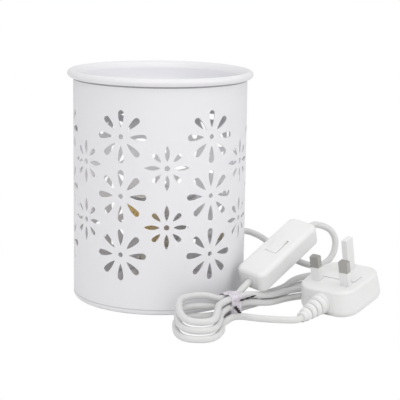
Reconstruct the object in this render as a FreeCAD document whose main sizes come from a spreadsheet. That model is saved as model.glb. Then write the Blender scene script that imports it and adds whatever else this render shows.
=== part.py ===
import FreeCAD, Part
import math
import os
import re
import Sketcher

SIZES = [
    ("wall_radius", "58", "outer radius of the can"),
    ("sheet_wall", "0.8", "sheet thickness of the can"),
    ("shell_bottom", "4", "height of the can's lower edge"),
    ("shell_height", "145", "height of the can"),
    ("rim_radius", "62", "outer radius of the dish lip"),
    ("lip_height", "5.2", "height of the dish lip above its seat"),
    ("dish_wall", "1.2", "thickness of the dish"),
    ("dish_depth", "16.8", "depth of the dish floor's underside below the seat"),
    ("dish_corner", "12", "outer corner radius of the bowl"),
    ("dish_gap", "1.2", "gap between the bowl and the can"),
    ("pad_height", "1", "height of a foot pad"),
    ("pad_radius", "6", "radius of a foot pad"),
    ("pad_circle", "45", "radius of the circle of foot pads"),
    ("floor_wall", "1.4", "thickness of the base floor"),
    ("band_edge", "2.6", "roundness of the base band"),
    ("spigot_gap", "0.1", "gap between the base spigot and the can"),
    ("spigot_wall", "1.2", "thickness of the base spigot"),
    ("spigot_height", "8", "height of the base spigot above the can's lower edge"),
    ("screw_radius", "1.5", "radius of the metal screws"),
    ("screw_head_radius", "2.8", "radius of the screw heads"),
    ("screw_head_height", "1.9", "height of the screw heads"),
    ("screw_gap", "0.05", "gap between a screw and its hole"),
    ("shell_screw_rise", "4", "height of the can screws above the can's lower edge"),
    ("shell_screw_length", "5.5", "length of the can screws"),
    ("pattern_turn", "6.45", "turn of the first flower column from the front"),
    ("flower_columns", "6", "number of columns of each flower"),
    ("flower_pitch", "38.4", "height between the flowers of a column"),
    ("flower_rise", "35.7", "height of the lowest large flower above the can's lower edge"),
    ("petal_count", "8", "petals of a large flower"),
    ("petal_inner", "5.8", "inner end of a large petal"),
    ("petal_outer", "17", "outer end of a large petal"),
    ("petal_width", "4.2", "width of a large petal"),
    ("eye_radius", "1.6", "radius of the hole in a large flower's middle"),
    ("small_count", "4", "petals of each kind in a small flower"),
    ("lens_inner", "4.3", "inner end of a small flower's upright petal"),
    ("lens_outer", "14.6", "outer end of a small flower's upright petal"),
    ("lens_width", "3.1", "width of a small flower's upright petal"),
    ("bud_inner", "5.5", "inner end of a small flower's slanted petal"),
    ("bud_outer", "12.8", "outer end of a small flower's slanted petal"),
    ("bud_width", "3.2", "width of a small flower's slanted petal"),
    ("small_eye_radius", "1.8", "radius of the hole in a small flower's middle"),
    ("bracket_length", "52", "length of the lamp bracket"),
    ("bracket_width", "18", "width of the lamp bracket"),
    ("bracket_wall", "1.2", "thickness of the lamp bracket"),
    ("bracket_rise", "5.6", "height of the lamp bracket"),
    ("bracket_span", "33", "length of the raised part of the lamp bracket"),
    ("plate_wall", "1.2", "thickness of the insulating plate"),
    ("holder_length", "30", "length of the lampholder"),
    ("holder_width", "18", "width of the lampholder"),
    ("holder_height", "14.8", "height of the lampholder"),
    ("holder_lip", "3", "thickness of the lampholder's top"),
    ("holder_post", "2.1", "radius of the lampholder's middle post"),
    ("holder_ring", "7.9", "outer radius of the lampholder's cavity"),
    ("holder_screw_place", "11.7", "distance of the lampholder screws from the middle"),
    ("holder_screw_sink", "4", "depth of the lampholder's screw recess"),
    ("recess_gap", "0.3", "gap round a sunk screw head"),
    ("pin_circle", "5", "radius of the circle of bulb pins"),
    ("pin_neck_radius", "1.5", "radius of a bulb pin's neck"),
    ("pin_neck_length", "3.5", "length of a bulb pin's neck"),
    ("pin_head_radius", "2.4", "radius of a bulb pin's head"),
    ("pin_head_length", "4", "length of a bulb pin's head"),
    ("slot_gap", "0.3", "gap between a bulb pin and its slot"),
    ("bulb_twist", "20", "turn that locks the bulb"),
    ("contact_wall", "0.6", "thickness of the lampholder contacts"),
    ("contact_width", "3", "width of the lampholder contacts"),
    ("contact_tail", "13", "reach of the lampholder contacts"),
    ("contact_gap", "0.4", "gap round a contact in its notch"),
    ("bulb_base_radius", "13.2", "radius of the bulb's base"),
    ("bulb_base_height", "11.25", "height of the bulb's base"),
    ("reflector_neck", "10.5", "radius of the reflector at the base"),
    ("reflector_radius", "25", "radius of the reflector's mouth"),
    ("reflector_height", "33.75", "height of the reflector"),
    ("reflector_bow", "62", "curve of the reflector's side"),
    ("glass_wall", "1.2", "thickness of the reflector's glass"),
    ("lens_wall", "1.8", "thickness of the bulb's front glass"),
    ("capsule_radius", "4.6", "radius of the bulb's capsule"),
    ("capsule_height", "20", "height of the bulb's capsule"),
    ("entry_height", "36", "height of the cord entry"),
    ("entry_turn", "120", "turn of the cord entry from the first flower column"),
    ("cord_diameter", "4.4", "diameter of the cord"),
    ("cord_gap", "0.1", "gap between the cord and what it passes through"),
    ("grommet_flange", "5.5", "radius of the grommet"),
    ("grommet_neck", "4.2", "radius of the grommet in the wall"),
    ("grommet_gap", "0.1", "gap between the grommet and the wall"),
    ("grommet_nose", "3.4", "reach of the grommet outside the wall"),
    ("grommet_tail", "3", "thickness of the grommet inside the wall"),
    ("grommet_seat", "0.3", "room for the wall's curve behind the grommet"),
    ("grip_radius", "5", "radius of the cord grip"),
    ("grip_length", "5", "length of the cord grip"),
    ("cord_inside", "12", "length of cord inside the grip"),
    ("wire_radius", "0.8", "radius of a single wire"),
    ("wire_offset", "1", "distance of a wire from the cord's middle"),
    ("switch_x", "80.65", "place of the switch towards the right"),
    ("switch_y", "-16.6", "place of the switch towards the back"),
    ("switch_z", "32.65", "height of the switch's middle"),
    ("switch_heading", "47.7", "heading of the switch"),
    ("switch_pitch", "24", "slope of the switch"),
    ("switch_roll", "8.3", "roll of the switch"),
    ("switch_length", "64", "length of the switch"),
    ("switch_width", "22.5", "width of the switch"),
    ("switch_half", "7.5", "thickness of each half of the switch"),
    ("switch_corner", "5", "corner radius of the switch"),
    ("switch_edge", "3", "edge radius of the switch"),
    ("switch_wall", "1.6", "wall of the switch halves"),
    ("switch_screw_x", "18", "distance of the switch screws along the switch"),
    ("switch_screw_y", "5.8", "distance of the switch screws across the switch"),
    ("switch_screw_radius", "1", "radius of the switch screws"),
    ("switch_screw_head", "1.9", "radius of the switch screws' heads"),
    ("switch_screw_sink", "2.4", "depth of the switch screws' recesses"),
    ("switch_screw_bite", "4", "length of the switch screws in the cover"),
    ("boss_wall", "1.4", "wall of the switch's screw bosses"),
    ("window_length", "15", "length of the rocker's window"),
    ("window_width", "9", "width of the rocker's window"),
    ("rocker_gap", "0.3", "gap at each side of the rocker"),
    ("rocker_length", "13.4", "length of the rocker"),
    ("rocker_top", "4.4", "height of the rocker's ends above its pin"),
    ("rocker_dip", "0.8", "dip in the middle of the rocker"),
    ("rocker_foot", "1.8", "depth of the rocker below its pin"),
    ("rocker_tilt", "8", "tilt of the rocker to each side"),
    ("rocker_pin_height", "4.2", "height of the rocker's pin above the joint of the switch"),
    ("rocker_pin_radius", "0.9", "radius of the rocker's pin"),
    ("pivot_gap", "0.05", "running gap round the rocker's pin"),
    ("lug_wall", "1.4", "thickness of the pin's lugs"),
    ("lug_length", "4", "length of the pin's lugs"),
    ("bridge_length", "8", "length of the moving contact"),
    ("bridge_width", "2.4", "width of the moving contact"),
    ("bridge_wall", "0.8", "thickness of the moving contact"),
    ("terminal_inner", "2.6", "place of the fixed contacts"),
    ("terminal_wall", "1.2", "thickness of the fixed contacts"),
    ("terminal_width", "3", "width of the fixed contacts"),
    ("terminal_top", "0.7", "height of the fixed contacts above the joint of the switch"),
    ("cord_in_switch", "5", "length of cord in each end of the switch"),
    ("plug_x", "114.5", "place of the plug towards the right"),
    ("plug_y", "-40.1", "place of the plug towards the back"),
    ("plug_z", "20.2", "height of the plug's face between the pins"),
    ("plug_heading", "51.9", "heading of the plug"),
    ("plug_tilt", "12", "tilt of the plug"),
    ("plug_front", "32", "reach of the plug towards its earth end"),
    ("plug_back", "13", "reach of the plug towards its cord"),
    ("plug_half_width", "20.5", "half of the plug's width"),
    ("plug_corner", "12", "corner radius of the plug"),
    ("plug_height", "18.6", "thickness of the plug"),
    ("plug_taper", "6", "slope of the plug's sides"),
    ("plug_foot_edge", "5", "edge radius at the plug's back"),
    ("plug_face_edge", "2", "edge radius at the plug's face"),
    ("blade_width", "6.35", "width of a power pin"),
    ("blade_depth", "4", "thickness of a power pin"),
    ("blade_length", "17.7", "length of a power pin"),
    ("blade_place", "11.1", "distance of a power pin from the middle"),
    ("blade_tip", "1", "chamfer of the pins' tips"),
    ("blade_root", "6", "length of the pins in the plug"),
    ("blade_gap", "0.03", "gap between a pin and its hole"),
    ("sleeve_length", "9.2", "length of a pin's sleeve"),
    ("sleeve_wall", "0.6", "thickness of a pin's sleeve"),
    ("earth_width", "4", "width of the earth pin"),
    ("earth_depth", "8", "depth of the earth pin"),
    ("earth_length", "22.73", "length of the earth pin"),
    ("earth_place", "22.23", "distance of the earth pin from the power pins"),
    ("carrier_place", "10", "distance of the fuse carrier from the power pins"),
    ("carrier_length", "28", "length of the fuse carrier"),
    ("carrier_width", "8.6", "width of the fuse carrier"),
    ("carrier_height", "8.4", "height of the fuse carrier"),
    ("carrier_gap", "0.3", "gap round the fuse carrier"),
    ("carrier_proud", "0.4", "reach of the fuse carrier out of the plug's face"),
    ("fuse_length", "25.4", "length of the fuse"),
    ("fuse_radius", "3.15", "radius of the fuse"),
    ("fuse_depth", "4.4", "depth of the fuse's middle below the plug's face"),
    ("fuse_gap", "0.1", "gap round the fuse"),
    ("boot_depth", "9", "depth of the cord's middle below the plug's face"),
    ("boot_length", "24", "length of the boot outside the plug"),
    ("boot_root", "6.9", "radius of the boot at the plug"),
    ("boot_tip", "3.4", "radius of the boot at its tip"),
    ("boot_rib", "1", "height of the boot's ribs"),
    ("boot_ribs", "4", "number of ribs on the boot"),
    ("boot_socket", "5", "depth of the boot in the plug"),
    ("boot_gap", "0.05", "gap round the boot in the plug"),
    ("hank_x", "48", "place of the tie towards the right"),
    ("hank_y", "-56", "place of the tie towards the back"),
    ("hank_heading", "47", "heading of the hank"),
    ("hank_loops", "3", "loops at the left of the hank"),
    ("hank_step", "5.1", "height from layer to layer of the hank"),
    ("hank_waist", "5.3", "distance across the two columns of cord in the tie"),
    ("hank_straight", "10", "straight length of cord in the tie"),
    ("hank_bottom", "0.8", "height of the hank's lowest cord above the table"),
    ("right_reach", "92", "reach of the right-hand loops"),
    ("right_radius", "12.6", "radius of the right-hand loops' ends"),
    ("right_middle", "0.2", "middle of the right-hand loops across the hank"),
    ("tie_length", "6", "length of the tie along the hank"),
    ("tie_wall", "0.4", "thickness of the tie"),
    ("tie_gap", "0.3", "gap between the tie and the cord"),
    ("tail_radius", "1.1", "radius of the tie's twisted tail"),
]

doc = FreeCAD.newDocument("wax_warmer")
sheet = doc.addObject("Spreadsheet::Sheet", "Sizes")
for row, (alias, size, meaning) in enumerate(SIZES, 1):
    sheet.set(f"A{row}", meaning)
    sheet.set(f"B{row}", size)
    sheet.setAlias(f"B{row}", alias)
doc.recompute()

NAMES = re.compile(r"\b(" + "|".join(alias for alias, size, meaning in SIZES) + r")\b")
NODES = []
Vector = FreeCAD.Vector
Z_AXIS = Vector(0, 0, 1)


def linked(text):
    """The expression with every size named from the sheet."""
    return NAMES.sub(r"Sizes.\1", text)


def value(text):
    """The number that an expression of sizes gives."""
    found = sheet.evalExpression(linked(text))
    return float(getattr(found, "Value", found))


def bind(item, **links):
    """Tie properties of an object to expressions of sizes."""
    for prop, text in links.items():
        item.setExpression(prop, linked(text))


def node(item, label, place=None):
    """Name a finished piece and put it in its place."""
    item.Label = label
    if place is not None:
        item.Placement = place
    NODES.append(item)
    return item


def body(name):
    return doc.addObject("PartDesign::Body", name)


def plane(owner, role):
    return next(item for item in owner.Origin.OriginFeatures if item.Role == role)


def sketch(owner, name, role="XY_Plane", lift=None):
    """A sketch on one of the body's own planes, moved along its normal by lift."""
    item = owner.newObject("Sketcher::SketchObject", name)
    item.AttachmentSupport = [(plane(owner, role), "")]
    item.MapMode = "FlatFace"
    if lift is not None:
        item.setExpression("AttachmentOffset.Base.z", linked(lift))
    return item


def wall_sketch(owner, name, turn, height):
    """A sketch that faces the can's wall from just outside, turned from the front."""
    item = sketch(owner, name, "XZ_Plane")
    angle = value(turn)
    item.AttachmentOffset = FreeCAD.Placement(Vector(), FreeCAD.Rotation(Vector(0, 1, 0), angle))
    item.setExpression("AttachmentOffset.Base.x", linked(f"(wall_radius + 1) * sin({turn})"))
    item.setExpression("AttachmentOffset.Base.y", linked(height))
    item.setExpression("AttachmentOffset.Base.z", linked(f"(wall_radius + 1) * cos({turn})"))
    return item


def arc_between(start, stop, radius):
    """The short arc from start to stop that turns left."""
    chord = stop - start
    rise = math.sqrt(max(radius ** 2 - chord.Length ** 2 / 4, 0))
    side = Vector(-chord.y, chord.x, 0)
    side.normalize()
    middle = start + chord * 0.5 + side * rise
    from_angle = math.atan2(start.y - middle.y, start.x - middle.x)
    to_angle = math.atan2(stop.y - middle.y, stop.x - middle.x)
    return Part.ArcOfCircle(Part.Circle(middle, Z_AXIS, radius), from_angle, to_angle)


def pin_point(item, geo, point, x, y):
    """Tie a point of a sketch to its two coordinates."""
    for kind, text, axis in (("DistanceX", x, -2), ("DistanceY", y, -1)):
        if text == "0":
            item.addConstraint(Sketcher.Constraint("PointOnObject", geo, point, axis))
        else:
            index = item.addConstraint(Sketcher.Constraint(kind, -1, 1, geo, point, value(text)))
            item.setExpression(f"Constraints[{index}]", linked(text))


def outline(item, corners):
    """A closed outline; a corner is (x, y) or (x, y, radius of the arc that leaves it).

    An arc turns left, or right where its radius starts with a minus sign.
    """
    spots = [Vector(value(corner[0]), value(corner[1]), 0) for corner in corners]
    ends = []
    for index, corner in enumerate(corners):
        start = spots[index]
        stop = spots[(index + 1) % len(corners)]
        if len(corner) == 2:
            ends.append((item.addGeometry(Part.LineSegment(start, stop)), 1, 2))
            continue
        right = corner[2].startswith("-")
        radius = corner[2].lstrip("-")
        if right:
            geo = item.addGeometry(arc_between(stop, start, value(radius)))
            ends.append((geo, 2, 1))
        else:
            geo = item.addGeometry(arc_between(start, stop, value(radius)))
            ends.append((geo, 1, 2))
        number = item.addConstraint(Sketcher.Constraint("Radius", geo, value(radius)))
        item.setExpression(f"Constraints[{number}]", linked(radius))
    for index, (geo, first, last) in enumerate(ends):
        follower, entry, leave = ends[(index + 1) % len(ends)]
        item.addConstraint(Sketcher.Constraint("Coincident", geo, last, follower, entry))
    for (geo, first, last), corner in zip(ends, corners):
        pin_point(item, geo, first, corner[0], corner[1])
    return item


def ring(item, radius, x="0", y="0"):
    """A circle in a sketch."""
    middle = Vector(value(x), value(y), 0)
    geo = item.addGeometry(Part.Circle(middle, Z_AXIS, value(radius)))
    pin_point(item, geo, 3, x, y)
    number = item.addConstraint(Sketcher.Constraint("Radius", geo, value(radius)))
    item.setExpression(f"Constraints[{number}]", linked(radius))
    return item


def rectangle(item, x, y, length, width):
    """A rectangle in a sketch, given by its middle and its two sizes."""
    left, right = f"{x} - ({length}) / 2", f"{x} + ({length}) / 2"
    low, high = f"{y} - ({width}) / 2", f"{y} + ({width}) / 2"
    return outline(item, [(left, low), (right, low), (right, high), (left, high)])


def rounded(item, left, right, half_width, corner):
    """A rectangle with rounded corners, even about the sketch's first axis."""
    low, high = f"-({half_width})", f"({half_width})"
    corner = f"({corner})"
    return outline(item, [
        (f"{left} + {corner}", low), (f"{right} - {corner}", low, corner),
        (right, f"{low} + {corner}"), (right, f"{high} - {corner}", corner),
        (f"{right} - {corner}", high), (f"{left} + {corner}", high, corner),
        (left, f"{high} - {corner}"), (left, f"{low} + {corner}", corner),
    ])


def pad(owner, item, length, both=False, down=False):
    feature = owner.newObject("PartDesign::Pad", item.Name + "_pad")
    feature.Profile = item
    bind(feature, Length=length)
    feature.Midplane = both
    feature.Reversed = down
    owner.Tip = feature
    return feature


def pocket(owner, item, length=None, both=False, up=False):
    """Cut a sketch out of a body, right through where no length is given."""
    feature = owner.newObject("PartDesign::Pocket", item.Name + "_cut")
    feature.Profile = item
    if length is None:
        feature.Type = "ThroughAll"
    else:
        bind(feature, Length=length)
    feature.Midplane = both
    feature.Reversed = up
    owner.Tip = feature
    return feature


def polar(owner, originals, count, angle="360"):
    """Repeat features about the body's upright axis."""
    feature = owner.newObject("PartDesign::PolarPattern", originals[0].Name + "_round")
    feature.Originals = originals
    feature.Axis = (plane(owner, "Z_Axis"), [""])
    bind(feature, Angle=angle, Occurrences=count)
    owner.Tip = feature
    return feature


def flower(owner, cut, item, spin, rows, back):
    """Repeat one petal round its flower, up its column and into the sector beside it."""
    feature = owner.newObject("PartDesign::MultiTransform", cut.Name + "_flowers")
    feature.Originals = [cut]
    steps = []
    if spin is not None:
        about = doc.addObject("PartDesign::PolarPattern", cut.Name + "_spin")
        about.Axis = (item, ["N_Axis"])
        bind(about, Angle="360", Occurrences=spin)
        steps.append(about)
    column = doc.addObject("PartDesign::LinearPattern", cut.Name + "_column")
    column.Direction = (item, ["V_Axis"])
    bind(column, Length=f"flower_pitch * {rows - 1}", Occurrences=str(rows))
    steps.append(column)
    if back is not None:
        beside = doc.addObject("PartDesign::PolarPattern", cut.Name + "_beside")
        beside.Axis = (plane(owner, "Z_Axis"), [""])
        beside.Reversed = back
        bind(beside, Angle="360 / flower_columns", Occurrences="2")
        steps.append(beside)
    for step in steps:
        owner.addObject(step)
    feature.Transformations = steps
    owner.Tip = feature
    return feature


def dressed(owner, kind, test):
    """A fillet or chamfer on the edges of a body that pass a test."""
    doc.recompute()
    base = owner.Tip
    names = [f"Edge{i}" for i, edge in enumerate(base.Shape.Edges, 1) if test(edge.BoundBox)]
    feature = owner.newObject(f"PartDesign::{kind}", f"{base.Name}_{kind}")
    feature.Base = (base, names)
    owner.Tip = feature
    return feature


def soften(owner, radius, test):
    bind(dressed(owner, "Fillet", test), Radius=radius)


def bevel(owner, size, height):
    """Chamfer the edges of a body's top face."""
    top = value(height) - 1e-6
    bind(dressed(owner, "Chamfer", lambda box: box.ZMin > top), Size=size)


def turned(name, corners):
    """A body turned about the upright axis."""
    owner = body(name)
    section = outline(sketch(owner, name + "_section", "XZ_Plane"), corners)
    feature = owner.newObject("PartDesign::Revolution", name + "_turned")
    feature.Profile = section
    feature.ReferenceAxis = (section, ["V_Axis"])
    feature.Angle = 360
    owner.Tip = feature
    return owner


def screw(name, place, radius, length, head, height):
    """A pan-head screw whose head rests on the place's plane."""
    item = turned(name, [
        ("0", f"-({length})"), (radius, f"-({length})"), (radius, "0"), (head, "0"),
        (head, f"{height} * 0.4", f"{head} * 0.62"), (f"{head} * 0.45", height), ("0", height),
    ])
    item.Placement = place
    return item


def group(label, items, place=None):
    """Several equal pieces as one node."""
    item = doc.addObject("Part::Compound", label)
    item.Links = items
    return node(item, label, place)


def block(name, low, span):
    """A box from its low corner and its three sizes."""
    item = doc.addObject("Part::Box", name)
    bind(item, Length=span[0], Width=span[1], Height=span[2])
    for axis, text in zip("xyz", low):
        item.setExpression(f"Placement.Base.{axis}", linked(text))
    return item


def disc(name, middle, radius, height):
    """An upright cylinder from the middle of its lower face."""
    item = doc.addObject("Part::Cylinder", name)
    bind(item, Radius=radius, Height=height)
    for axis, text in zip("xyz", middle):
        item.setExpression(f"Placement.Base.{axis}", linked(text))
    return item


def fused(name, items):
    item = doc.addObject("Part::MultiFuse", name)
    item.Shapes = items
    return item


def placed(x, y, z, heading, pitch, roll):
    """A place whose first axis has a heading, a slope and a roll."""
    turn = FreeCAD.Rotation(Z_AXIS, heading)
    turn = turn.multiply(FreeCAD.Rotation(Vector(0, 1, 0), -pitch))
    turn = turn.multiply(FreeCAD.Rotation(Vector(1, 0, 0), roll))
    return FreeCAD.Placement(Vector(x, y, z), turn)


def solid(name, shape):
    """A free-form solid."""
    item = doc.addObject("Part::Feature", name)
    item.Shape = shape
    return item


def swept(edges, radius):
    """A round tube along a chain of edges."""
    spine = Part.Wire(edges)
    first = spine.Edges[0]
    start = first.valueAt(first.FirstParameter)
    along = first.tangentAt(first.FirstParameter)
    section = Part.Wire([Part.makeCircle(radius, start, along)])
    return spine.makePipeShell([section], True, False)


def eased(points):
    """Straight runs through points, joined by tangent arcs, and the arcs' radii."""
    edges = []
    radii = []
    last = points[0]
    for before, here, after in zip(points, points[1:], points[2:]):
        inward = (here - before).normalize()
        onward = (after - here).normalize()
        half = inward.getAngle(onward) / 2
        back = 0.45 * min((here - before).Length, (after - here).Length)
        start = here - inward * back
        stop = here + onward * back
        radii.append(back / math.tan(half))
        bisector = (onward - inward).normalize()
        middle = here + bisector * (radii[-1] / math.cos(half) - radii[-1])
        edges.append(Part.LineSegment(last, start).toShape())
        edges.append(Part.Arc(start, middle, stop).toShape())
        last = stop
    edges.append(Part.LineSegment(last, points[-1]).toShape())
    return edges, radii


def tube(name, points, radius):
    """A cord through points; prints its length, its tightest turn and a volume ratio."""
    edges, radii = eased(points)
    shape = swept(edges, radius)
    length = sum(edge.Length for edge in edges)
    ratio = shape.Volume / (math.pi * radius ** 2 * length)
    print(f"{name}: length {length:.1f}, least radius {min(radii):.1f}, volume ratio {ratio:.4f}")
    return solid(name, shape)


def biarc(start, along, stop, onward):
    """Two arcs, or a line, that leave start along one direction and reach stop along another."""
    gap = stop - start
    if gap.cross(along).Length < 1e-6 and along.dot(onward) > 0.999999:
        return [Part.LineSegment(start, stop).toShape()]
    square = 2 * (1 - along.dot(onward))
    linear = 2 * gap.dot(along + onward)
    reach = gap.dot(gap) / linear
    if abs(square) > 1e-9:
        root = math.sqrt(linear ** 2 + 4 * square * gap.dot(gap))
        reach = (-linear + root) / (2 * square)
    early = start + along * reach
    late = stop - onward * reach
    joint = (early + late) * 0.5
    through = (late - early).normalize()
    return [bent(start, along, joint), bent(joint, through, stop)]


def bent(start, along, stop):
    """The arc from start, along a direction, to stop."""
    chord = stop - start
    side = chord - along * chord.dot(along)
    if side.Length < 1e-7:
        return Part.LineSegment(start, stop).toShape()
    side.normalize()
    radius = chord.Length ** 2 / (2 * chord.dot(side))
    centre = start + side * radius
    outward = (start + stop) * 0.5 - centre
    if chord.dot(along) < 0:
        outward = -outward
    return Part.Arc(start, centre + outward.normalize() * radius, stop).toShape()


seat = "(shell_bottom + shell_height)"
floor_top = "(pad_height + floor_wall)"
bracket_top = f"({floor_top} + bracket_rise)"
plate_top = f"({bracket_top} + plate_wall)"
holder_top = f"({plate_top} + holder_height)"
bulb_top = f"({holder_top} + bulb_base_height)"
reflector_top = f"({bulb_top} + reflector_height)"

# Can
cut_depth = "wall_radius * 0.12 + sheet_wall"
sector_angle = "360 / flower_columns"
sector = body("sector")
section = sketch(sector, "can_section", "XZ_Plane")
section.AttachmentOffset = FreeCAD.Placement(
    Vector(), FreeCAD.Rotation(Vector(0, 1, 0), value("pattern_turn - 90 - 90 / flower_columns")))
outline(section, [
    ("wall_radius - sheet_wall", "shell_bottom"), ("wall_radius", "shell_bottom"),
    ("wall_radius", seat), ("wall_radius - sheet_wall", seat),
])
arc = sector.newObject("PartDesign::Revolution", "sector_turned")
arc.Profile = section
arc.ReferenceAxis = (section, ["V_Axis"])
bind(arc, Angle=sector_angle)
sector.Tip = arc


def petal(inner, outer, width):
    """A petal with a point at its inner end and a round outer end."""
    shoulder = f"{outer} - {width} / 2"
    side = f"(({shoulder} - {inner}) ^ 2 + {width} ^ 2 / 4) / {width}"
    return [("0", inner, side), (f"{width} / 2", shoulder, f"{width} / 2"), ("0", outer, f"{width} / 2"),
            (f"-{width} / 2", shoulder, side)]


def slanted(corners):
    """The same outline, turned right by an eighth of a circle."""
    return [(f"(({y}) + ({x})) * sqrt(0.5)", f"(({y}) - ({x})) * sqrt(0.5)", arc) for x, y, arc in corners]


low_large = "shell_bottom + flower_rise"
low_small = "shell_bottom + flower_rise + flower_pitch / 2"
large_turn = "pattern_turn + 180 / flower_columns"
lens_side = "((lens_outer - lens_inner) ^ 2 / 4 + lens_width ^ 2 / 4) / lens_width"
lens = [("0", "lens_inner", lens_side), ("0", "lens_outer", lens_side)]
bud = slanted(petal("bud_inner", "bud_outer", "bud_width"))
for name, turn, height, corners, spin, rows, back in (
    ("petal", large_turn, low_large, petal("petal_inner", "petal_outer", "petal_width"), "petal_count", 3, True),
    ("lens", "pattern_turn", low_small, lens, "small_count", 2, False),
    ("bud", "pattern_turn", low_small, bud, "small_count", 2, False),
):
    shape = wall_sketch(sector, name, turn, height)
    outline(shape, corners)
    flower(sector, pocket(sector, shape, cut_depth), shape, spin, rows, back)
for name, turn, height, radius, rows in (
    ("eye", large_turn, low_large, "eye_radius", 3),
    ("small_eye", "pattern_turn", low_small, "small_eye_radius", 2),
):
    shape = wall_sketch(sector, name, turn, height)
    ring(shape, radius)
    flower(sector, pocket(sector, shape, cut_depth), shape, None, rows, None)
doc.recompute()
sectors = [sector]
for number in range(1, int(value("flower_columns"))):
    copy = doc.addObject("Part::Feature", f"sector{number}")
    copy.Shape = sector.Shape
    copy.Placement = FreeCAD.Placement(Vector(), FreeCAD.Rotation(Z_AXIS, value(sector_angle) * number))
    sectors.append(copy)
wall = fused("wall", sectors)
wall.Refine = False


def wall_hole(name, turn, height, radius):
    """A round cutter through the can's wall."""
    item = doc.addObject("Part::Cylinder", name)
    bind(item, Radius=radius, Height="wall_radius * 0.3")
    angle = math.radians(value(turn))
    outward = Vector(math.sin(angle), -math.cos(angle), 0)
    spot = outward * value("wall_radius * 0.85") + Z_AXIS * value(height)
    item.Placement = FreeCAD.Placement(spot, FreeCAD.Rotation(Z_AXIS, outward))
    return item


drills = [wall_hole("entry_hole", "pattern_turn + entry_turn", "entry_height", "grommet_neck + grommet_gap")]
drills += [wall_hole(f"screw_hole{number}", f"120 + 60 * {number}", "shell_bottom + shell_screw_rise",
                     "screw_radius + screw_gap") for number in range(3)]
can = doc.addObject("Part::Cut", "can")
can.Base = wall
can.Tool = fused("drills", drills)
can.Refine = False
node(can, "shade_shell")

# Dish
bowl = "(wall_radius - sheet_wall - dish_gap)"
bowl_in = f"({bowl} - dish_wall)"
under = f"({seat} - dish_depth)"
rim_mid = f"({seat} + lip_height / 2)"
dish = turned("dish", [
    ("0", under), (f"{bowl} - dish_corner", under, "dish_corner"),
    (bowl, f"{under} + dish_corner"), (bowl, seat),
    ("rim_radius - 3.4", seat, "lip_height * 0.62"), ("rim_radius", rim_mid, "lip_height * 0.56"),
    ("rim_radius - 2.9", f"{seat} + lip_height", "7"), (bowl_in, f"{seat} + 0.8"),
    (bowl_in, f"{under} + dish_corner", "-dish_corner - dish_wall"),
    (f"{bowl} - dish_corner", f"{under} + dish_wall"), ("0", f"{under} + dish_wall"),
])
node(dish, "wax_dish")

# Base
spigot = "(wall_radius - sheet_wall - spigot_gap)"
spigot_in = f"({spigot} - spigot_wall)"
pan = turned("pan", [
    ("0", "pad_height"), ("wall_radius - 4.3", "pad_height"), ("wall_radius - 3.9", "pad_height * 0.6"),
    ("wall_radius - 2.3", "pad_height * 0.6", "band_edge"), ("wall_radius", "shell_bottom - 1.1"),
    ("wall_radius", "shell_bottom"), (spigot, "shell_bottom"), (spigot, "shell_bottom + spigot_height"),
    (spigot_in, "shell_bottom + spigot_height"), (spigot_in, floor_top), ("0", floor_top),
])
fixing = wall_sketch(pan, "pan_fixing", "120", "shell_bottom + shell_screw_rise")
ring(fixing, "screw_radius + screw_gap")
polar(pan, [pocket(pan, fixing, cut_depth)], "3", "120")
foot_screw = "((bracket_span + bracket_length) / 4)"
holes = sketch(pan, "pan_holes", lift=floor_top)
ring(holes, "screw_radius + screw_gap", foot_screw)
ring(holes, "screw_radius + screw_gap", f"-{foot_screw}")
pocket(pan, holes, "floor_wall * 2")
node(pan, "base_pan")

pads = []
for number, (across, along) in enumerate(((1, 1), (-1, 1), (-1, -1), (1, -1))):
    spot = (f"pad_circle * sqrt(0.5) * {across}", f"pad_circle * sqrt(0.5) * {along}", "0")
    pads.append(disc(f"pad{number}", spot, "pad_radius", "pad_height"))
group("foot_pads", pads)

screws = []
for number in range(3):
    angle = math.radians(120 + 60 * number)
    outward = Vector(math.sin(angle), -math.cos(angle), 0)
    spot = outward * value("wall_radius") + Z_AXIS * value("shell_bottom + shell_screw_rise")
    place = FreeCAD.Placement(spot, FreeCAD.Rotation(Z_AXIS, outward))
    screws.append(screw(f"shell_screw{number}", place, "screw_radius", "shell_screw_length",
                        "screw_head_radius", "screw_head_height"))
group("shell_screws", screws)

# Lamp bracket and lampholder
bracket = body("bracket")
half_span = "bracket_span / 2"
hat = sketch(bracket, "hat", "XZ_Plane")
hat_low = f"{floor_top} + bracket_wall"
hat_under = f"{bracket_top} - bracket_wall"
outline(hat, [
    ("-bracket_length / 2", floor_top), (f"-{half_span} + bracket_wall", floor_top),
    (f"-{half_span} + bracket_wall", hat_under), (f"{half_span} - bracket_wall", hat_under),
    (f"{half_span} - bracket_wall", floor_top), ("bracket_length / 2", floor_top),
    ("bracket_length / 2", hat_low), (half_span, hat_low), (half_span, bracket_top),
    (f"-{half_span}", bracket_top), (f"-{half_span}", hat_low), ("-bracket_length / 2", hat_low),
])
pad(bracket, hat, "bracket_width", both=True)
holes = sketch(bracket, "bracket_holes", lift=bracket_top)
for x in (foot_screw, f"-{foot_screw}", "holder_screw_place", "-holder_screw_place"):
    ring(holes, "screw_radius + screw_gap", x)
pocket(bracket, holes, "bracket_rise * 2")
node(bracket, "lamp_bracket")

screws = []
for name, x in (("right", foot_screw), ("left", f"-{foot_screw}")):
    place = FreeCAD.Placement(Vector(value(x), 0, value(hat_low)), FreeCAD.Rotation())
    screws.append(screw(f"bracket_screw_{name}", place, "screw_radius", "bracket_wall + floor_wall",
                        "screw_head_radius", "screw_head_height"))
group("bracket_screws", screws)

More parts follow.
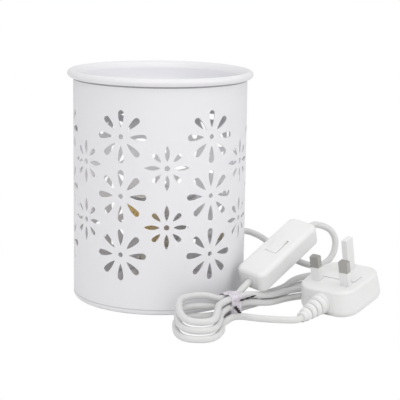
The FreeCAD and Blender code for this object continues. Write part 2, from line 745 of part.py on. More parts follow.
plate = body("plate")
pad(plate, rectangle(sketch(plate, "plate_outline", lift=bracket_top), "0", "0",
                     "holder_length", "holder_width"), "plate_wall")
holes = sketch(plate, "plate_holes", lift=plate_top)
ring(holes, "screw_radius + screw_gap", "holder_screw_place")
ring(holes, "screw_radius + screw_gap", "-holder_screw_place")
pocket(plate, holes, "plate_wall * 2")
node(plate, "lampholder_plate")

holder = body("holder")
pad(holder, rectangle(sketch(holder, "holder_outline", lift=plate_top), "0", "0",
                      "holder_length", "holder_width"), "holder_height")
cavity = sketch(holder, "cavity", lift=plate_top)
ring(cavity, "holder_ring")
ring(cavity, "holder_post")
pocket(holder, cavity, "holder_height - holder_lip", up=True)
slot_half = "(pin_neck_radius + slot_gap)"
near, far = f"(pin_circle - {slot_half})", f"(pin_circle + {slot_half})"
slot = sketch(holder, "slot", lift=holder_top)
outline(slot, [
    (near, "0"), (far, "0", far), (f"{far} * cos(bulb_twist)", f"{far} * sin(bulb_twist)"),
    (f"{near} * cos(bulb_twist)", f"{near} * sin(bulb_twist)", f"-{near}"),
])
rest = ring(sketch(holder, "slot_rest", lift=holder_top), slot_half, "pin_circle")
key = ring(sketch(holder, "slot_key", lift=holder_top), "pin_head_radius + slot_gap",
           "pin_circle * cos(bulb_twist)", "pin_circle * sin(bulb_twist)")
slots = [pocket(holder, item, "holder_lip + 1") for item in (slot, rest, key)]
polar(holder, slots, "2")
recess = sketch(holder, "recess", lift=holder_top)
holes = sketch(holder, "holder_holes", lift=holder_top)
for x in ("holder_screw_place", "-holder_screw_place"):
    ring(recess, "screw_head_radius - 0.4 + recess_gap", x)
    ring(holes, "screw_radius + screw_gap", x)
pocket(holder, recess, "holder_screw_sink")
pocket(holder, holes, "holder_height * 2")
notch = sketch(holder, "notch", lift=plate_top)
for x in ("pin_circle", "-pin_circle"):
    rectangle(notch, x, "holder_width / 4", "contact_width + contact_gap * 2", "holder_width / 2 + 1")
pocket(holder, notch, "contact_wall + contact_gap", up=True)
node(holder, "lampholder_body")

screws = []
for name, x in (("right", "holder_screw_place"), ("left", "-holder_screw_place")):
    spot = Vector(value(x), 0, value(f"{holder_top} - holder_screw_sink"))
    place = FreeCAD.Placement(spot, FreeCAD.Rotation())
    reach = "holder_height - holder_screw_sink + plate_wall + bracket_wall"
    screws.append(screw(f"holder_screw_{name}", place, "screw_radius", reach,
                        "screw_head_radius - 0.4", "screw_head_height"))
group("lampholder_screws", screws)

pin_bottom = f"({holder_top} - pin_neck_length - pin_head_length)"
strips = []
for name, side in (("right", ""), ("left", "-")):
    edge = f"{side}pin_circle - contact_width / 2"
    back = "-contact_width"
    leg = f"{pin_bottom} - {plate_top}"
    foot = block(f"contact_foot_{name}", (edge, back, plate_top),
                 ("contact_width", f"contact_tail + contact_width", "contact_wall"))
    rise = block(f"contact_leg_{name}", (edge, back, plate_top), ("contact_width", "contact_wall", leg))
    top = block(f"contact_pad_{name}", (edge, back, f"{pin_bottom} - contact_wall"),
                ("contact_width", "contact_width * 1.8", "contact_wall"))
    strips.append(fused(f"contact_{name}", [foot, rise, top]))
group("lampholder_contacts", strips)

# Bulb
node(turned("cap", [
    ("0", holder_top), ("bulb_base_radius - 1", holder_top), ("bulb_base_radius", f"{holder_top} + 2"),
    ("bulb_base_radius", bulb_top), ("0", bulb_top),
]), "bulb_base")
pins = []
for name, x in (("right", "pin_circle"), ("left", "-pin_circle")):
    neck = disc(f"neck_{name}", (x, "0", f"{holder_top} - pin_neck_length"), "pin_neck_radius",
                "pin_neck_length")
    head = disc(f"head_{name}", (x, "0", pin_bottom), "pin_head_radius", "pin_head_length")
    pins.append(fused(f"bulb_pin_{name}", [neck, head]))
group("bulb_pins", pins)
node(turned("reflector", [
    ("0", bulb_top), ("reflector_neck", bulb_top, "reflector_bow"), ("reflector_radius", reflector_top),
    ("reflector_radius - glass_wall", reflector_top, "-reflector_bow"),
    ("reflector_neck - glass_wall", f"{bulb_top} + glass_wall"), ("0", f"{bulb_top} + glass_wall"),
]), "bulb_reflector")
node(turned("front", [
    ("0", reflector_top), ("reflector_radius", reflector_top), ("reflector_radius", f"{reflector_top} + 1"),
    ("reflector_radius - 1", f"{reflector_top} + lens_wall"), ("0", f"{reflector_top} + lens_wall"),
]), "bulb_lens")
capsule_low = f"({bulb_top} + glass_wall)"
node(turned("capsule", [
    ("0", capsule_low), ("capsule_radius", capsule_low),
    ("capsule_radius", f"{capsule_low} + capsule_height - capsule_radius", "capsule_radius"),
    ("0", f"{capsule_low} + capsule_height"),
]), "bulb_capsule")

# Cord entry
cord_radius = value("cord_diameter / 2")
wire_radius = value("wire_radius")
entry_angle = math.radians(value("pattern_turn + entry_turn"))
entry_out = Vector(math.sin(entry_angle), -math.cos(entry_angle), 0)
entry_level = Z_AXIS * value("entry_height")
entry_place = FreeCAD.Placement(entry_out * value("wall_radius") + entry_level,
                                FreeCAD.Rotation(Z_AXIS, entry_out))
bore = "(cord_diameter / 2 + cord_gap)"
tail_face = "(-sheet_wall - grommet_seat)"
grommet = turned("grommet", [
    (bore, f"{tail_face} - grommet_tail"), ("grommet_flange - 0.8", f"{tail_face} - grommet_tail", "0.8"),
    ("grommet_flange", f"{tail_face} - grommet_tail + 0.8"), ("grommet_flange", tail_face),
    ("grommet_neck", tail_face), ("grommet_neck", "0"), ("grommet_flange", "0"),
    ("grommet_flange", "grommet_nose - 1.4", "1.4"), ("grommet_flange - 1.4", "grommet_nose"),
    (bore, "grommet_nose"),
])
node(grommet, "cord_grommet", entry_place)
grip_face = f"({tail_face} - grommet_tail)"
grip = turned("grip", [
    (bore, f"{grip_face} - grip_length"), ("grip_radius", f"{grip_face} - grip_length"),
    ("grip_radius", grip_face), (bore, grip_face),
])
node(grip, "cord_grip", entry_place)
cord_end = f"({grip_face} - grip_length - cord_inside)"
inner = disc("inner", ("0", "0", cord_end), "cord_diameter / 2", f"grommet_nose - {cord_end}")
inner_place = entry_place.multiply(FreeCAD.Placement(Vector(0, 0, value(cord_end)), FreeCAD.Rotation()))
inner.setExpression("Placement.Base.x", None)
inner.setExpression("Placement.Base.y", None)
inner.setExpression("Placement.Base.z", None)
node(inner, "inner_cord", inner_place)

wire_start = entry_out * value(f"wall_radius + {cord_end}") + entry_level
entry_side = Vector(math.cos(entry_angle), math.sin(entry_angle), 0)
wire_level = value(f"{plate_top} + contact_wall / 2")
tail = value("contact_tail")
for label, side, lift, middle in (
    ("live_wire", 1, 1, [(18, 19, 25), (11.5, 19, 15)]),
    ("neutral_wire", -1, -1, [(18, 23.5, 22), (8, 24, 13.5), (-1.5, 22.5, 10.2)]),
):
    start = wire_start + Z_AXIS * value("wire_offset") * lift
    stop = Vector(side * value("pin_circle"), tail, wire_level)
    inward = start - entry_out * 5
    route = [start, inward, inward - entry_out * 6 + entry_side * lift * -2.2]
    route += [Vector(*spot) for spot in middle]
    route += [stop + Vector(0, 4.5, 0), stop]
    node(tube(label, route, wire_radius), label)

# In-line switch
switch_place = placed(value("switch_x"), value("switch_y"), value("switch_z"), value("switch_heading"),
                      value("switch_pitch"), value("switch_roll"))
end_x = "switch_length / 2"
cavity_depth = "switch_half - switch_wall"


def switch_half(name, up):
    """One half of the switch: an open shell with two bosses and the cord's way through."""
    sign = "" if up else "-"
    owner = body(name)
    form = rounded(sketch(owner, name + "_outline"), f"-{end_x}", end_x, "switch_width / 2", "switch_corner")
    pad(owner, form, "switch_half", down=not up)
    face = value(f"{sign}switch_half")
    soften(owner, "switch_edge", lambda box: abs(box.ZMin - face) < 1e-6 and abs(box.ZMax - face) < 1e-6)
    hollow = rounded(sketch(owner, name + "_hollow"), f"-{end_x} + switch_wall", f"{end_x} - switch_wall",
                     "switch_width / 2 - switch_wall", "switch_corner - switch_wall")
    pocket(owner, hollow, cavity_depth, up=up)
    bosses = sketch(owner, name + "_bosses")
    for way in ("", "-"):
        ring(bosses, "switch_screw_radius + boss_wall", f"{way}switch_screw_x", f"{way}switch_screw_y")
    pad(owner, bosses, f"{cavity_depth} + 0.2", down=not up)
    passage = ring(sketch(owner, name + "_passage", "YZ_Plane"), bore)
    pocket(owner, passage, "switch_length + 2", both=True)
    return owner


case = switch_half("case", False)
holes = sketch(case, "case_holes")
sinks = sketch(case, "case_sinks", lift="-switch_half")
for way in ("", "-"):
    ring(holes, "switch_screw_radius + screw_gap", f"{way}switch_screw_x", f"{way}switch_screw_y")
    ring(sinks, "switch_screw_head + recess_gap", f"{way}switch_screw_x", f"{way}switch_screw_y")
pocket(case, holes, "switch_half * 2")
pocket(case, sinks, "switch_screw_sink", up=True)
node(case, "switch_base", switch_place)

cover = switch_half("cover", True)
lug_gap = "(window_width / 2 + 0.2)"
lug_low = "(rocker_pin_height - rocker_pin_radius - 1.1)"
lugs = sketch(cover, "lugs", lift=lug_low)
for way in ("", "-"):
    rectangle(lugs, "0", f"{way}({lug_gap} + lug_wall / 2)", "lug_length", "lug_wall")
pad(cover, lugs, f"{cavity_depth} + 0.2 - {lug_low}")
axle = ring(sketch(cover, "axle", "XZ_Plane"), "rocker_pin_radius + pivot_gap", "0", "rocker_pin_height")
pocket(cover, axle, f"({lug_gap} + lug_wall) * 2", both=True)
window = rectangle(sketch(cover, "window", lift="switch_half"), "0", "0", "window_length", "window_width")
pocket(cover, window, "switch_wall * 2")
holes = sketch(cover, "cover_holes")
for way in ("", "-"):
    ring(holes, "switch_screw_radius + screw_gap", f"{way}switch_screw_x", f"{way}switch_screw_y")
pocket(cover, holes, "switch_screw_bite", up=True)
node(cover, "switch_cover", switch_place)

pivot = FreeCAD.Placement(Vector(0, 0, value("rocker_pin_height")),
                          FreeCAD.Rotation(Vector(0, 1, 0), -value("rocker_tilt")))
rocker_place = switch_place.multiply(pivot)
rocker = body("rocker")
side_view = sketch(rocker, "rocker_side", "XZ_Plane")
rocker_end = "rocker_length / 2"
outline(side_view, [
    (f"-{rocker_end} + 1.5", "-rocker_foot"), (f"{rocker_end} - 1.5", "-rocker_foot"),
    (rocker_end, "rocker_top * 0.3"), (rocker_end, "rocker_top - 0.6", "0.6"),
    (f"{rocker_end} - 0.6", "rocker_top"), ("0", "rocker_top - rocker_dip"),
    (f"-{rocker_end} + 0.6", "rocker_top", "0.6"), (f"-{rocker_end}", "rocker_top - 0.6"),
    (f"-{rocker_end}", "rocker_top * 0.3"),
])
pad(rocker, side_view, "window_width - rocker_gap * 2", both=True)
axle = ring(sketch(rocker, "rocker_axle", "XZ_Plane"), "rocker_pin_radius + pivot_gap")
pocket(rocker, axle, "window_width * 2", both=True)
node(rocker, "switch_rocker", rocker_place)

bar = body("bar")
bar_plan = rectangle(sketch(bar, "bar_plan", lift="-rocker_foot"), "0", "0", "bridge_length", "bridge_width")
pad(bar, bar_plan, "bridge_wall", down=True)
node(bar, "rocker_bridge", rocker_place)

pin = body("pivot_pin")
pin_end = ring(sketch(pin, "pin_end", "XZ_Plane"), "rocker_pin_radius", "0", "rocker_pin_height")
pad(pin, pin_end, f"({lug_gap} + lug_wall) * 2", both=True)
node(pin, "rocker_pin", switch_place)

terminals = []
for name, x in (("right", "terminal_inner"), ("left", "-terminal_inner - terminal_wall")):
    low = f"-({cavity_depth})"
    terminals.append(block(f"terminal_{name}", (x, "-terminal_width / 2", low),
                           ("terminal_wall", "terminal_width", f"terminal_top + {cavity_depth}")))
group("switch_contacts", terminals, switch_place)

screws = []
for name, way in (("right", ""), ("left", "-")):
    spot = Vector(value(f"{way}switch_screw_x"), value(f"{way}switch_screw_y"),
                  value("switch_screw_sink - switch_half"))
    place = FreeCAD.Placement(spot, FreeCAD.Rotation(Vector(1, 0, 0), 180))
    screws.append(screw(f"switch_screw_{name}", place, "switch_screw_radius",
                        "switch_half - switch_screw_sink + switch_screw_bite - 0.4",
                        "switch_screw_head", "switch_screw_sink * 0.8"))
group("switch_screws", screws, switch_place)

sheath = value(f"{end_x} - cord_in_switch")
apart = value("wire_offset")
reach = value("terminal_inner + terminal_wall")
wires = []
for name, way in (("right", 1), ("left", -1)):
    route = [(sheath, apart, 0), (sheath - 6, apart, 0), (reach + 6, 0, -3.2), (reach, 0, -3.2)]
    wires.append(tube(f"switch_wire_{name}", [Vector(x * way, y, z) for x, y, z in route], wire_radius))
route = [(-sheath, -apart, 0), (-sheath + 6, -apart, 0), (-9, -4.4, -3.2), (0, -5.2, -3.6),
         (9, -4.4, -3.2), (sheath - 6, -apart, 0), (sheath, -apart, 0)]
wires.append(tube("switch_wire_through", [Vector(*spot) for spot in route], wire_radius))
group("switch_wires", wires, switch_place)

# Cord from the can to the switch
lead = [
    (63.2, 42.8, 34.6), (69.6, 40, 32.6), (74.8, 33.8, 30.6), (78.9, 26.2, 28.6),
    (83.8, 19.2, 26.2), (90.4, 13.8, 23.4), (98, 10.2, 20.6), (106, 8.6, 18.6), (113.4, 9.4, 19.4),
    (119, 11.4, 23.8), (121.9, 13.4, 30.6), (121.7, 15, 37.6), (118, 15.9, 43.4), (111.8, 14.6, 46.2),
]
lead_start = entry_out * value("wall_radius + grommet_nose") + entry_level
lead_end = [switch_place.multVec(Vector(x, 0, 0)) for x in (value(end_x) + 6.5, sheath)]
lead_route = [lead_start, lead_start + entry_out * 8] + [Vector(*spot) for spot in lead] + lead_end
node(tube("lead_cord", lead_route, cord_radius), "lead_cord")

# Hank of cord
tie_spot = Vector(value("hank_x"), value("hank_y"), 0)
hank_axis = math.radians(value("hank_heading"))
along = Vector(math.cos(hank_axis), math.sin(hank_axis), 0)
across = Vector(-math.sin(hank_axis), math.cos(hank_axis), 0)
hank_low = value("hank_bottom") + cord_radius
step = value("hank_step")
column = value("hank_waist") / 2
straight = value("hank_straight") / 2
loops = int(value("hank_loops"))
bend = value("right_radius")
right_middle = value("right_middle")


def on_hank(s, t, z):
    return tie_spot + along * s + across * t + Z_AXIS * z


stations = []


def station(spot, heading):
    angle = math.radians(heading)
    stations.append((spot, Vector(math.cos(angle), math.sin(angle), 0)))


ahead = value("hank_heading")
for turn in range(loops):
    layer = loops - 1 - turn
    level = hank_low + step * layer
    station(on_hank(straight, column, level), ahead + 180)
    station(on_hank(-straight, column, level), ahead + 180)
    station(Vector(28.5 + 0.5 * layer, -65.5 + 0.8 * layer, level + 1.6 * layer), 184)
    station(Vector(13.5 + layer, -78 + layer, level + 1.2 * layer), 269)
    station(Vector(29 + 0.3 * layer, -114.5 + 2.2 * layer, level - 0.3 * layer), 11)
    if turn < loops - 1:
        station(on_hank(-straight, -column, level), ahead)
        station(on_hank(straight, -column, level), ahead)
        low = level - step
        end = value("right_reach") - 3 * turn
        station(on_hank(45, -column - 0.2, low), ahead)
        station(on_hank(end, right_middle - bend, low), ahead)
        station(on_hank(end + bend, right_middle, low), ahead + 90)
        station(on_hank(end, right_middle + bend, low), ahead + 180)
        station(on_hank(45, column + 0.2, low), ahead + 180)
hank_end = Vector(45.5, -74, hank_low)
station(hank_end, 65)
station(hank_end + stations[-1][1] * 2 * cord_radius, 65)
hank_end = stations[-1][0]
hank_edges = []
for (start, leave), (stop, arrive) in zip(stations, stations[1:]):
    hank_edges += biarc(start, leave, stop, arrive)
hank_shape = swept(hank_edges, cord_radius)
samples = []
walked = 0
for edge in hank_edges:
    count = max(2, int(edge.Length / 0.7))
    for index, spot in enumerate(edge.discretize(count)[:-1]):
        samples.append((walked + edge.Length * index / (count - 1), spot))
    walked += edge.Length
least = min((spot - other).Length for first, (reach, spot) in enumerate(samples)
            for further, other in samples[first + 1:] if further - reach > 20)
tightest = min(edge.Curve.Radius for edge in hank_edges if hasattr(edge.Curve, "Radius"))
ratio = hank_shape.Volume / (math.pi * cord_radius ** 2 * walked)
print(f"cord_hank: length {walked:.1f}, least gap to itself {least - 2 * cord_radius:.2f}, "
      f"least radius {tightest:.1f}, volume ratio {ratio:.4f}")
node(solid("hank", hank_shape), "cord_hank")

# Cord from the switch to the hank
hank_top = hank_low + step * (loops - 1)
mid_start = [switch_place.multVec(Vector(-x, 0, 0)) for x in (sheath, value(end_x) + 5)]
mid_end = [on_hank(straight + 6, column, hank_top), on_hank(straight, column, hank_top)]
node(tube("mid_cord", mid_start + mid_end, cord_radius), "mid_cord")

# Tie
tie_half = value("tie_length") / 2
tie_clear = value("tie_gap")
tie_wall = value("tie_wall")


def band(margin):
    """The tie's outline round the cords, as a face across the hank."""
    side = column + cord_radius + margin
    low = hank_low - cord_radius - margin
    high = hank_top + cord_radius + margin
    curve = cord_radius + margin
    spots = [(-side + curve, low), (side - curve, low), (side, low + curve), (side, high - curve),
             (side - curve, high), (-side + curve, high), (-side, high - curve), (-side, low + curve)]
    corner = curve * (1 - math.sqrt(0.5))
    mids = {1: (side - corner, low + corner), 3: (side - corner, high - corner),
            5: (-side + corner, high - corner), 7: (-side + corner, low + corner)}
    edges = []
    for index, spot in enumerate(spots):
        start = on_hank(-tie_half, spot[0], spot[1])
        follow = spots[(index + 1) % len(spots)]
        stop = on_hank(-tie_half, follow[0], follow[1])
        if index in mids:
            edges.append(Part.Arc(start, on_hank(-tie_half, *mids[index]), stop).toShape())
        else:
            edges.append(Part.LineSegment(start, stop).toShape())
    return Part.Face(Part.Wire(edges)).extrude(along * tie_half * 2)


node(solid("tie", band(tie_clear + tie_wall).cut(band(tie_clear))), "cord_tie")
tail_radius = value("tail_radius")
tail_root = -column - cord_radius - tie_clear - tie_wall
tail_level = hank_low + step
tail_route = [on_hank(-1, tail_root, tail_level), on_hank(-1, tail_root - 3, tail_level),
              on_hank(-3.4, tail_root - 6, tail_level - 0.5), on_hank(-6, tail_root - 8, tail_level - 0.8)]
node(tube("tie_tail", tail_route, tail_radius), "tie_tail")

# Plug
plug_place = placed(value("plug_x"), value("plug_y"), value("plug_z"), value("plug_heading"),
                    value("plug_tilt"), 0)
moulding = body("moulding")
form = rounded(sketch(moulding, "plug_outline"), "-plug_back", "plug_front", "plug_half_width", "plug_corner")
pad(moulding, form, "plug_height", down=True)
bind(moulding.Tip, TaperAngle="plug_taper")
soften(moulding, "plug_face_edge", lambda box: abs(box.ZMin) < 1e-6 and abs(box.ZMax) < 1e-6)
foot = value("-plug_height")
soften(moulding, "plug_foot_edge",
       lambda box: abs(box.ZMin - foot) < 1e-6 and abs(box.ZMax - foot) < 1e-6)
core_width = "(blade_width - sleeve_wall * 2)"
core_depth = "(blade_depth - sleeve_wall * 2)"
holes = sketch(moulding, "pin_holes")
for y in ("blade_place", "-blade_place"):
    rectangle(holes, "0", y, f"{core_depth} + blade_gap * 2", f"{core_width} + blade_gap * 2")
rectangle(holes, "earth_place", "0", "earth_depth + blade_gap * 2", "earth_width + blade_gap * 2")
pocket(moulding, holes, "blade_root")
recess = rectangle(sketch(moulding, "carrier_recess"), "carrier_place", "0",
                   "carrier_width + carrier_gap * 2", "carrier_length + carrier_gap * 2")
pocket(moulding, recess, "carrier_height - carrier_proud")
socket_end = "(-plug_back + boot_socket - 1)"
socket = ring(sketch(moulding, "socket", "YZ_Plane", socket_end), "boot_root + boot_gap", "0", "-boot_depth")
pocket(moulding, socket, "boot_socket * 3")
node(moulding, "plug_body", plug_place)

for label, side in (("live", ""), ("neutral", "-")):
    y = f"{side}blade_place"
    blade = body(label + "_blade")
    core = rectangle(sketch(blade, label + "_core", lift="-blade_root"), "0", y, core_depth, core_width)
    pad(blade, core, "blade_root + sleeve_length")
    full = rectangle(sketch(blade, label + "_full", lift="sleeve_length"), "0", y, "blade_depth", "blade_width")
    pad(blade, full, "blade_length - sleeve_length")
    bevel(blade, "blade_tip", "blade_length")
    node(blade, label + "_pin", plug_place)
    sleeve = body(label + "_sleeve_body")
    shell = rectangle(sketch(sleeve, label + "_shell"), "0", y, "blade_depth", "blade_width")
    pad(sleeve, shell, "sleeve_length")
    bore_plan = rectangle(sketch(sleeve, label + "_bore"), "0", y, f"{core_depth} + blade_gap * 2",
                          f"{core_width} + blade_gap * 2")
    pocket(sleeve, bore_plan, "sleeve_length + 1", up=True)
    node(sleeve, label + "_sleeve", plug_place)

earth = body("earth")
root = rectangle(sketch(earth, "earth_plan", lift="-blade_root"), "earth_place", "0", "earth_depth", "earth_width")
pad(earth, root, "blade_root + earth_length")
bevel(earth, "blade_tip", "earth_length")
node(earth, "earth_pin", plug_place)

carrier = body("carrier")
plan = rectangle(sketch(carrier, "carrier_plan", lift="carrier_proud"), "carrier_place", "0",
                 "carrier_width", "carrier_length")
pad(carrier, plan, "carrier_height", down=True)
channel = sketch(carrier, "channel", "XZ_Plane")
ring(channel, "fuse_radius + fuse_gap", "carrier_place", "-fuse_depth")
pocket(carrier, channel, "fuse_length + fuse_gap * 2", both=True)
mouth = rectangle(sketch(carrier, "mouth", lift="-fuse_depth"), "carrier_place", "0",
                  "(fuse_radius + fuse_gap) * 2", "fuse_length + fuse_gap * 2")
pocket(carrier, mouth, "carrier_height")
node(carrier, "fuse_carrier", plug_place)
fuse = body("cartridge")
fuse_end = ring(sketch(fuse, "fuse_end", "XZ_Plane"), "fuse_radius", "carrier_place", "-fuse_depth")
pad(fuse, fuse_end, "fuse_length", both=True)
node(fuse, "fuse", plug_place)

boot_place = plug_place.multiply(FreeCAD.Placement(Vector(value("-plug_back"), 0, value("-boot_depth")),
                                                   FreeCAD.Rotation(Z_AXIS, Vector(-1, 0, 0))))
rib_count = int(value("boot_ribs"))
rib_start = 2.5
rib_pitch = f"((boot_length - {rib_start} - 2) / boot_ribs)"
profile = [("0", "-boot_socket + 1"), ("boot_root", "-boot_socket + 1"), ("boot_root", str(rib_start))]
for rib in range(rib_count):
    low = f"({rib_start} + {rib_pitch} * {rib})"
    shrink = "(boot_root - boot_tip) / boot_length"
    for part, raised in ((0.1, 0), (0.25, 1), (0.65, 1), (0.8, 0)):
        height = f"{low} + {rib_pitch} * {part}"
        profile.append((f"boot_root - 0.7 - ({height}) * {shrink} + boot_rib * {raised}", height))
profile += [("boot_tip", "boot_length - 1"), ("boot_tip", "boot_length"), ("0", "boot_length")]
node(turned("boot", profile), "plug_boot", boot_place)

boot_tip = boot_place.multVec(Vector(0, 0, value("boot_length")))
plug_route = [boot_tip, boot_place.multVec(Vector(0, 0, value("boot_length") + 2.7))]
plug_route += [Vector(x, y, hank_low) for x, y in ((88.7, -70.6), (82, -70.6), (75, -69.6), (69, -68.4),
                                                   (61.5, -66.4), (55, -63))]
plug_route += [hank_end + stations[-1][1] * 4.9, hank_end]
node(tube("plug_cord", plug_route, cord_radius), "plug_cord")

doc.recompute()
os.makedirs("parts", exist_ok=True)
for item in doc.Objects:
    if "Invalid" in item.State or "Error" in item.State:
        raise RuntimeError(f"{item.Label} did not build")
for item in NODES:
    if item.Shape.isNull() or not item.Shape.isValid() or not item.Shape.Solids:
        raise RuntimeError(f"{item.Label} is not a sound solid")
    item.Shape.exportStep(f"parts/{item.Label}.step")
print(len(NODES), "pieces")
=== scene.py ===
import math
import bpy
from mathutils import Euler, Matrix, Vector


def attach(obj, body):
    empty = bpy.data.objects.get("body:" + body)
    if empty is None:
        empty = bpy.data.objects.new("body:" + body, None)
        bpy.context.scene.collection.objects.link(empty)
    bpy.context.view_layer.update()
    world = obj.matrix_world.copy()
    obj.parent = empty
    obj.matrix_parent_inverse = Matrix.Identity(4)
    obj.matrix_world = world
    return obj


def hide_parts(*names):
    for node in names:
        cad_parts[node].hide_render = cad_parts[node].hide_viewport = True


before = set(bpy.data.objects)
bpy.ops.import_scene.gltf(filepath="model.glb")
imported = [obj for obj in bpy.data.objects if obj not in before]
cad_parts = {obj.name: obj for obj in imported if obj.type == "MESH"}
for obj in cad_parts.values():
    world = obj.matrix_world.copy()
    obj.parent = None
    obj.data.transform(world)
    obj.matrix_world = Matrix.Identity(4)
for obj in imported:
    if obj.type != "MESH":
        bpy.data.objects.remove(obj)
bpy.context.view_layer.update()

bl_info = {
    "name": "Wax warmer lamp",
    "version": (1, 0, 0),
    "blender": (4, 5, 0),
    "location": "View3D > Sidebar > Warmer",
    "description": "Dresses the perforated wax warmer lamp, its cord, switch and plug",
    "category": "Object",
}

MM = 0.001
UP = Vector((0, 0, 1))

# Cord from the grommet to the switch, in mm
LEAD_ROUTE = (
    (63.2, 42.8, 34.6), (69.6, 40, 32.6), (74.8, 33.8, 30.6), (78.9, 26.2, 28.6), (83.8, 19.2, 26.2),
    (90.4, 13.8, 23.4), (98, 10.2, 20.6), (106, 8.6, 18.6), (113.4, 9.4, 19.4), (119, 11.4, 23.8),
    (121.9, 13.4, 30.6), (121.7, 15, 37.6), (118, 15.9, 43.4), (111.8, 14.6, 46.2))

# Lowest loop left of the tie in plan, with the shift per layer to the right, back and up, in mm
LEFT_LOOP = (
    (39.9, -60.8, 0, 0, 0), (33, -64.8, 0.2, 0.8, 1.6), (23, -65.5, 0.5, 0.8, 1.6), (13.6, -72, 1, 0.8, 1.2),
    (13.3, -90, 1, 0.8, 1.2), (15, -106, 1, 1.6, 0.4), (22, -115.1, 0.7, 1.9, -0.3),
    (36.5, -114.1, 0.2, 2.3, -0.3), (42.5, -97, -1.5, 3, 0), (42, -82, -1, 4, 0))

# Cord from the lowest loop to the boot of the plug in plan, in mm
PLUG_ROUTE = (
    (47.36, -70.01), (49.43, -65.57), (55, -63), (61.5, -66.4), (69, -68.4), (75, -69.6), (82, -70.6),
    (88.7, -70.6))

# Nodes of the plug
PLUG_NODES = (
    "plug_boot", "plug_body", "live_pin", "neutral_pin", "earth_pin", "live_sleeve", "neutral_sleeve",
    "fuse_carrier", "fuse")

# Ends of the tie: start and end from its front face along, across and up, and width, in mm
TIE_ENDS = {
    "tie_twist": ((-1, 0, 0), (-6, -8, -0.8), 2.1),
    "tie_end": ((3, -0.5, 3.7), (17, -1.4, 4.5), 1.1),
}

# Dark lines round the can: painted shadow under the dish lip, and the joint line at the base; height and half
# width in metres, and strength
LIP_SHADOW_LINE = (0.1484, 0.0005, 0.62)
BASE_SEAM = (0.0042, 0.0004, 0.28)

# Lights: place and aim in metres, size in metres, power in watts
LIGHTS = {
    "front_light": ((-0.35, -1.3, 1.0), (0, 0, 0.07), 0.9, 4.4),
    "side_light": ((1.2, -0.7, 0.8), (0.05, 0, 0.06), 0.7, 3.4),
    "top_light": ((0.1, -0.2, 1.5), (0.05, -0.02, 0), 1.2, 5.2),
    "inner_fill": ((0, 0, 0.112), (0, 0, 0.05), 0.05, 0.026),
}

# Camera: place in mm, tilt and roll in radians, lens and sensor in mm
CAMERA_PLACE = (27.5, -891.3, 246.5)
CAMERA_TILT = 0.2001
CAMERA_ROLL = 0.0149
CAMERA_LENS = 120.64
CAMERA_SENSOR = 36


def length_value(name, description, default):
    return bpy.props.FloatProperty(name=name, description=f"{description}, in mm", default=default)


def angle_value(name, description, default):
    return bpy.props.FloatProperty(name=name, description=f"{description}, in degrees", default=default)


def place_value(name, description, default):
    return bpy.props.FloatVectorProperty(
        name=name, description=f"{description}, in mm", size=len(default), subtype="XYZ", default=default)


def colour_value(name, description, default):
    return bpy.props.FloatVectorProperty(
        name=name, description=f"{description}, linear", subtype="COLOR", min=0, max=1, default=default)


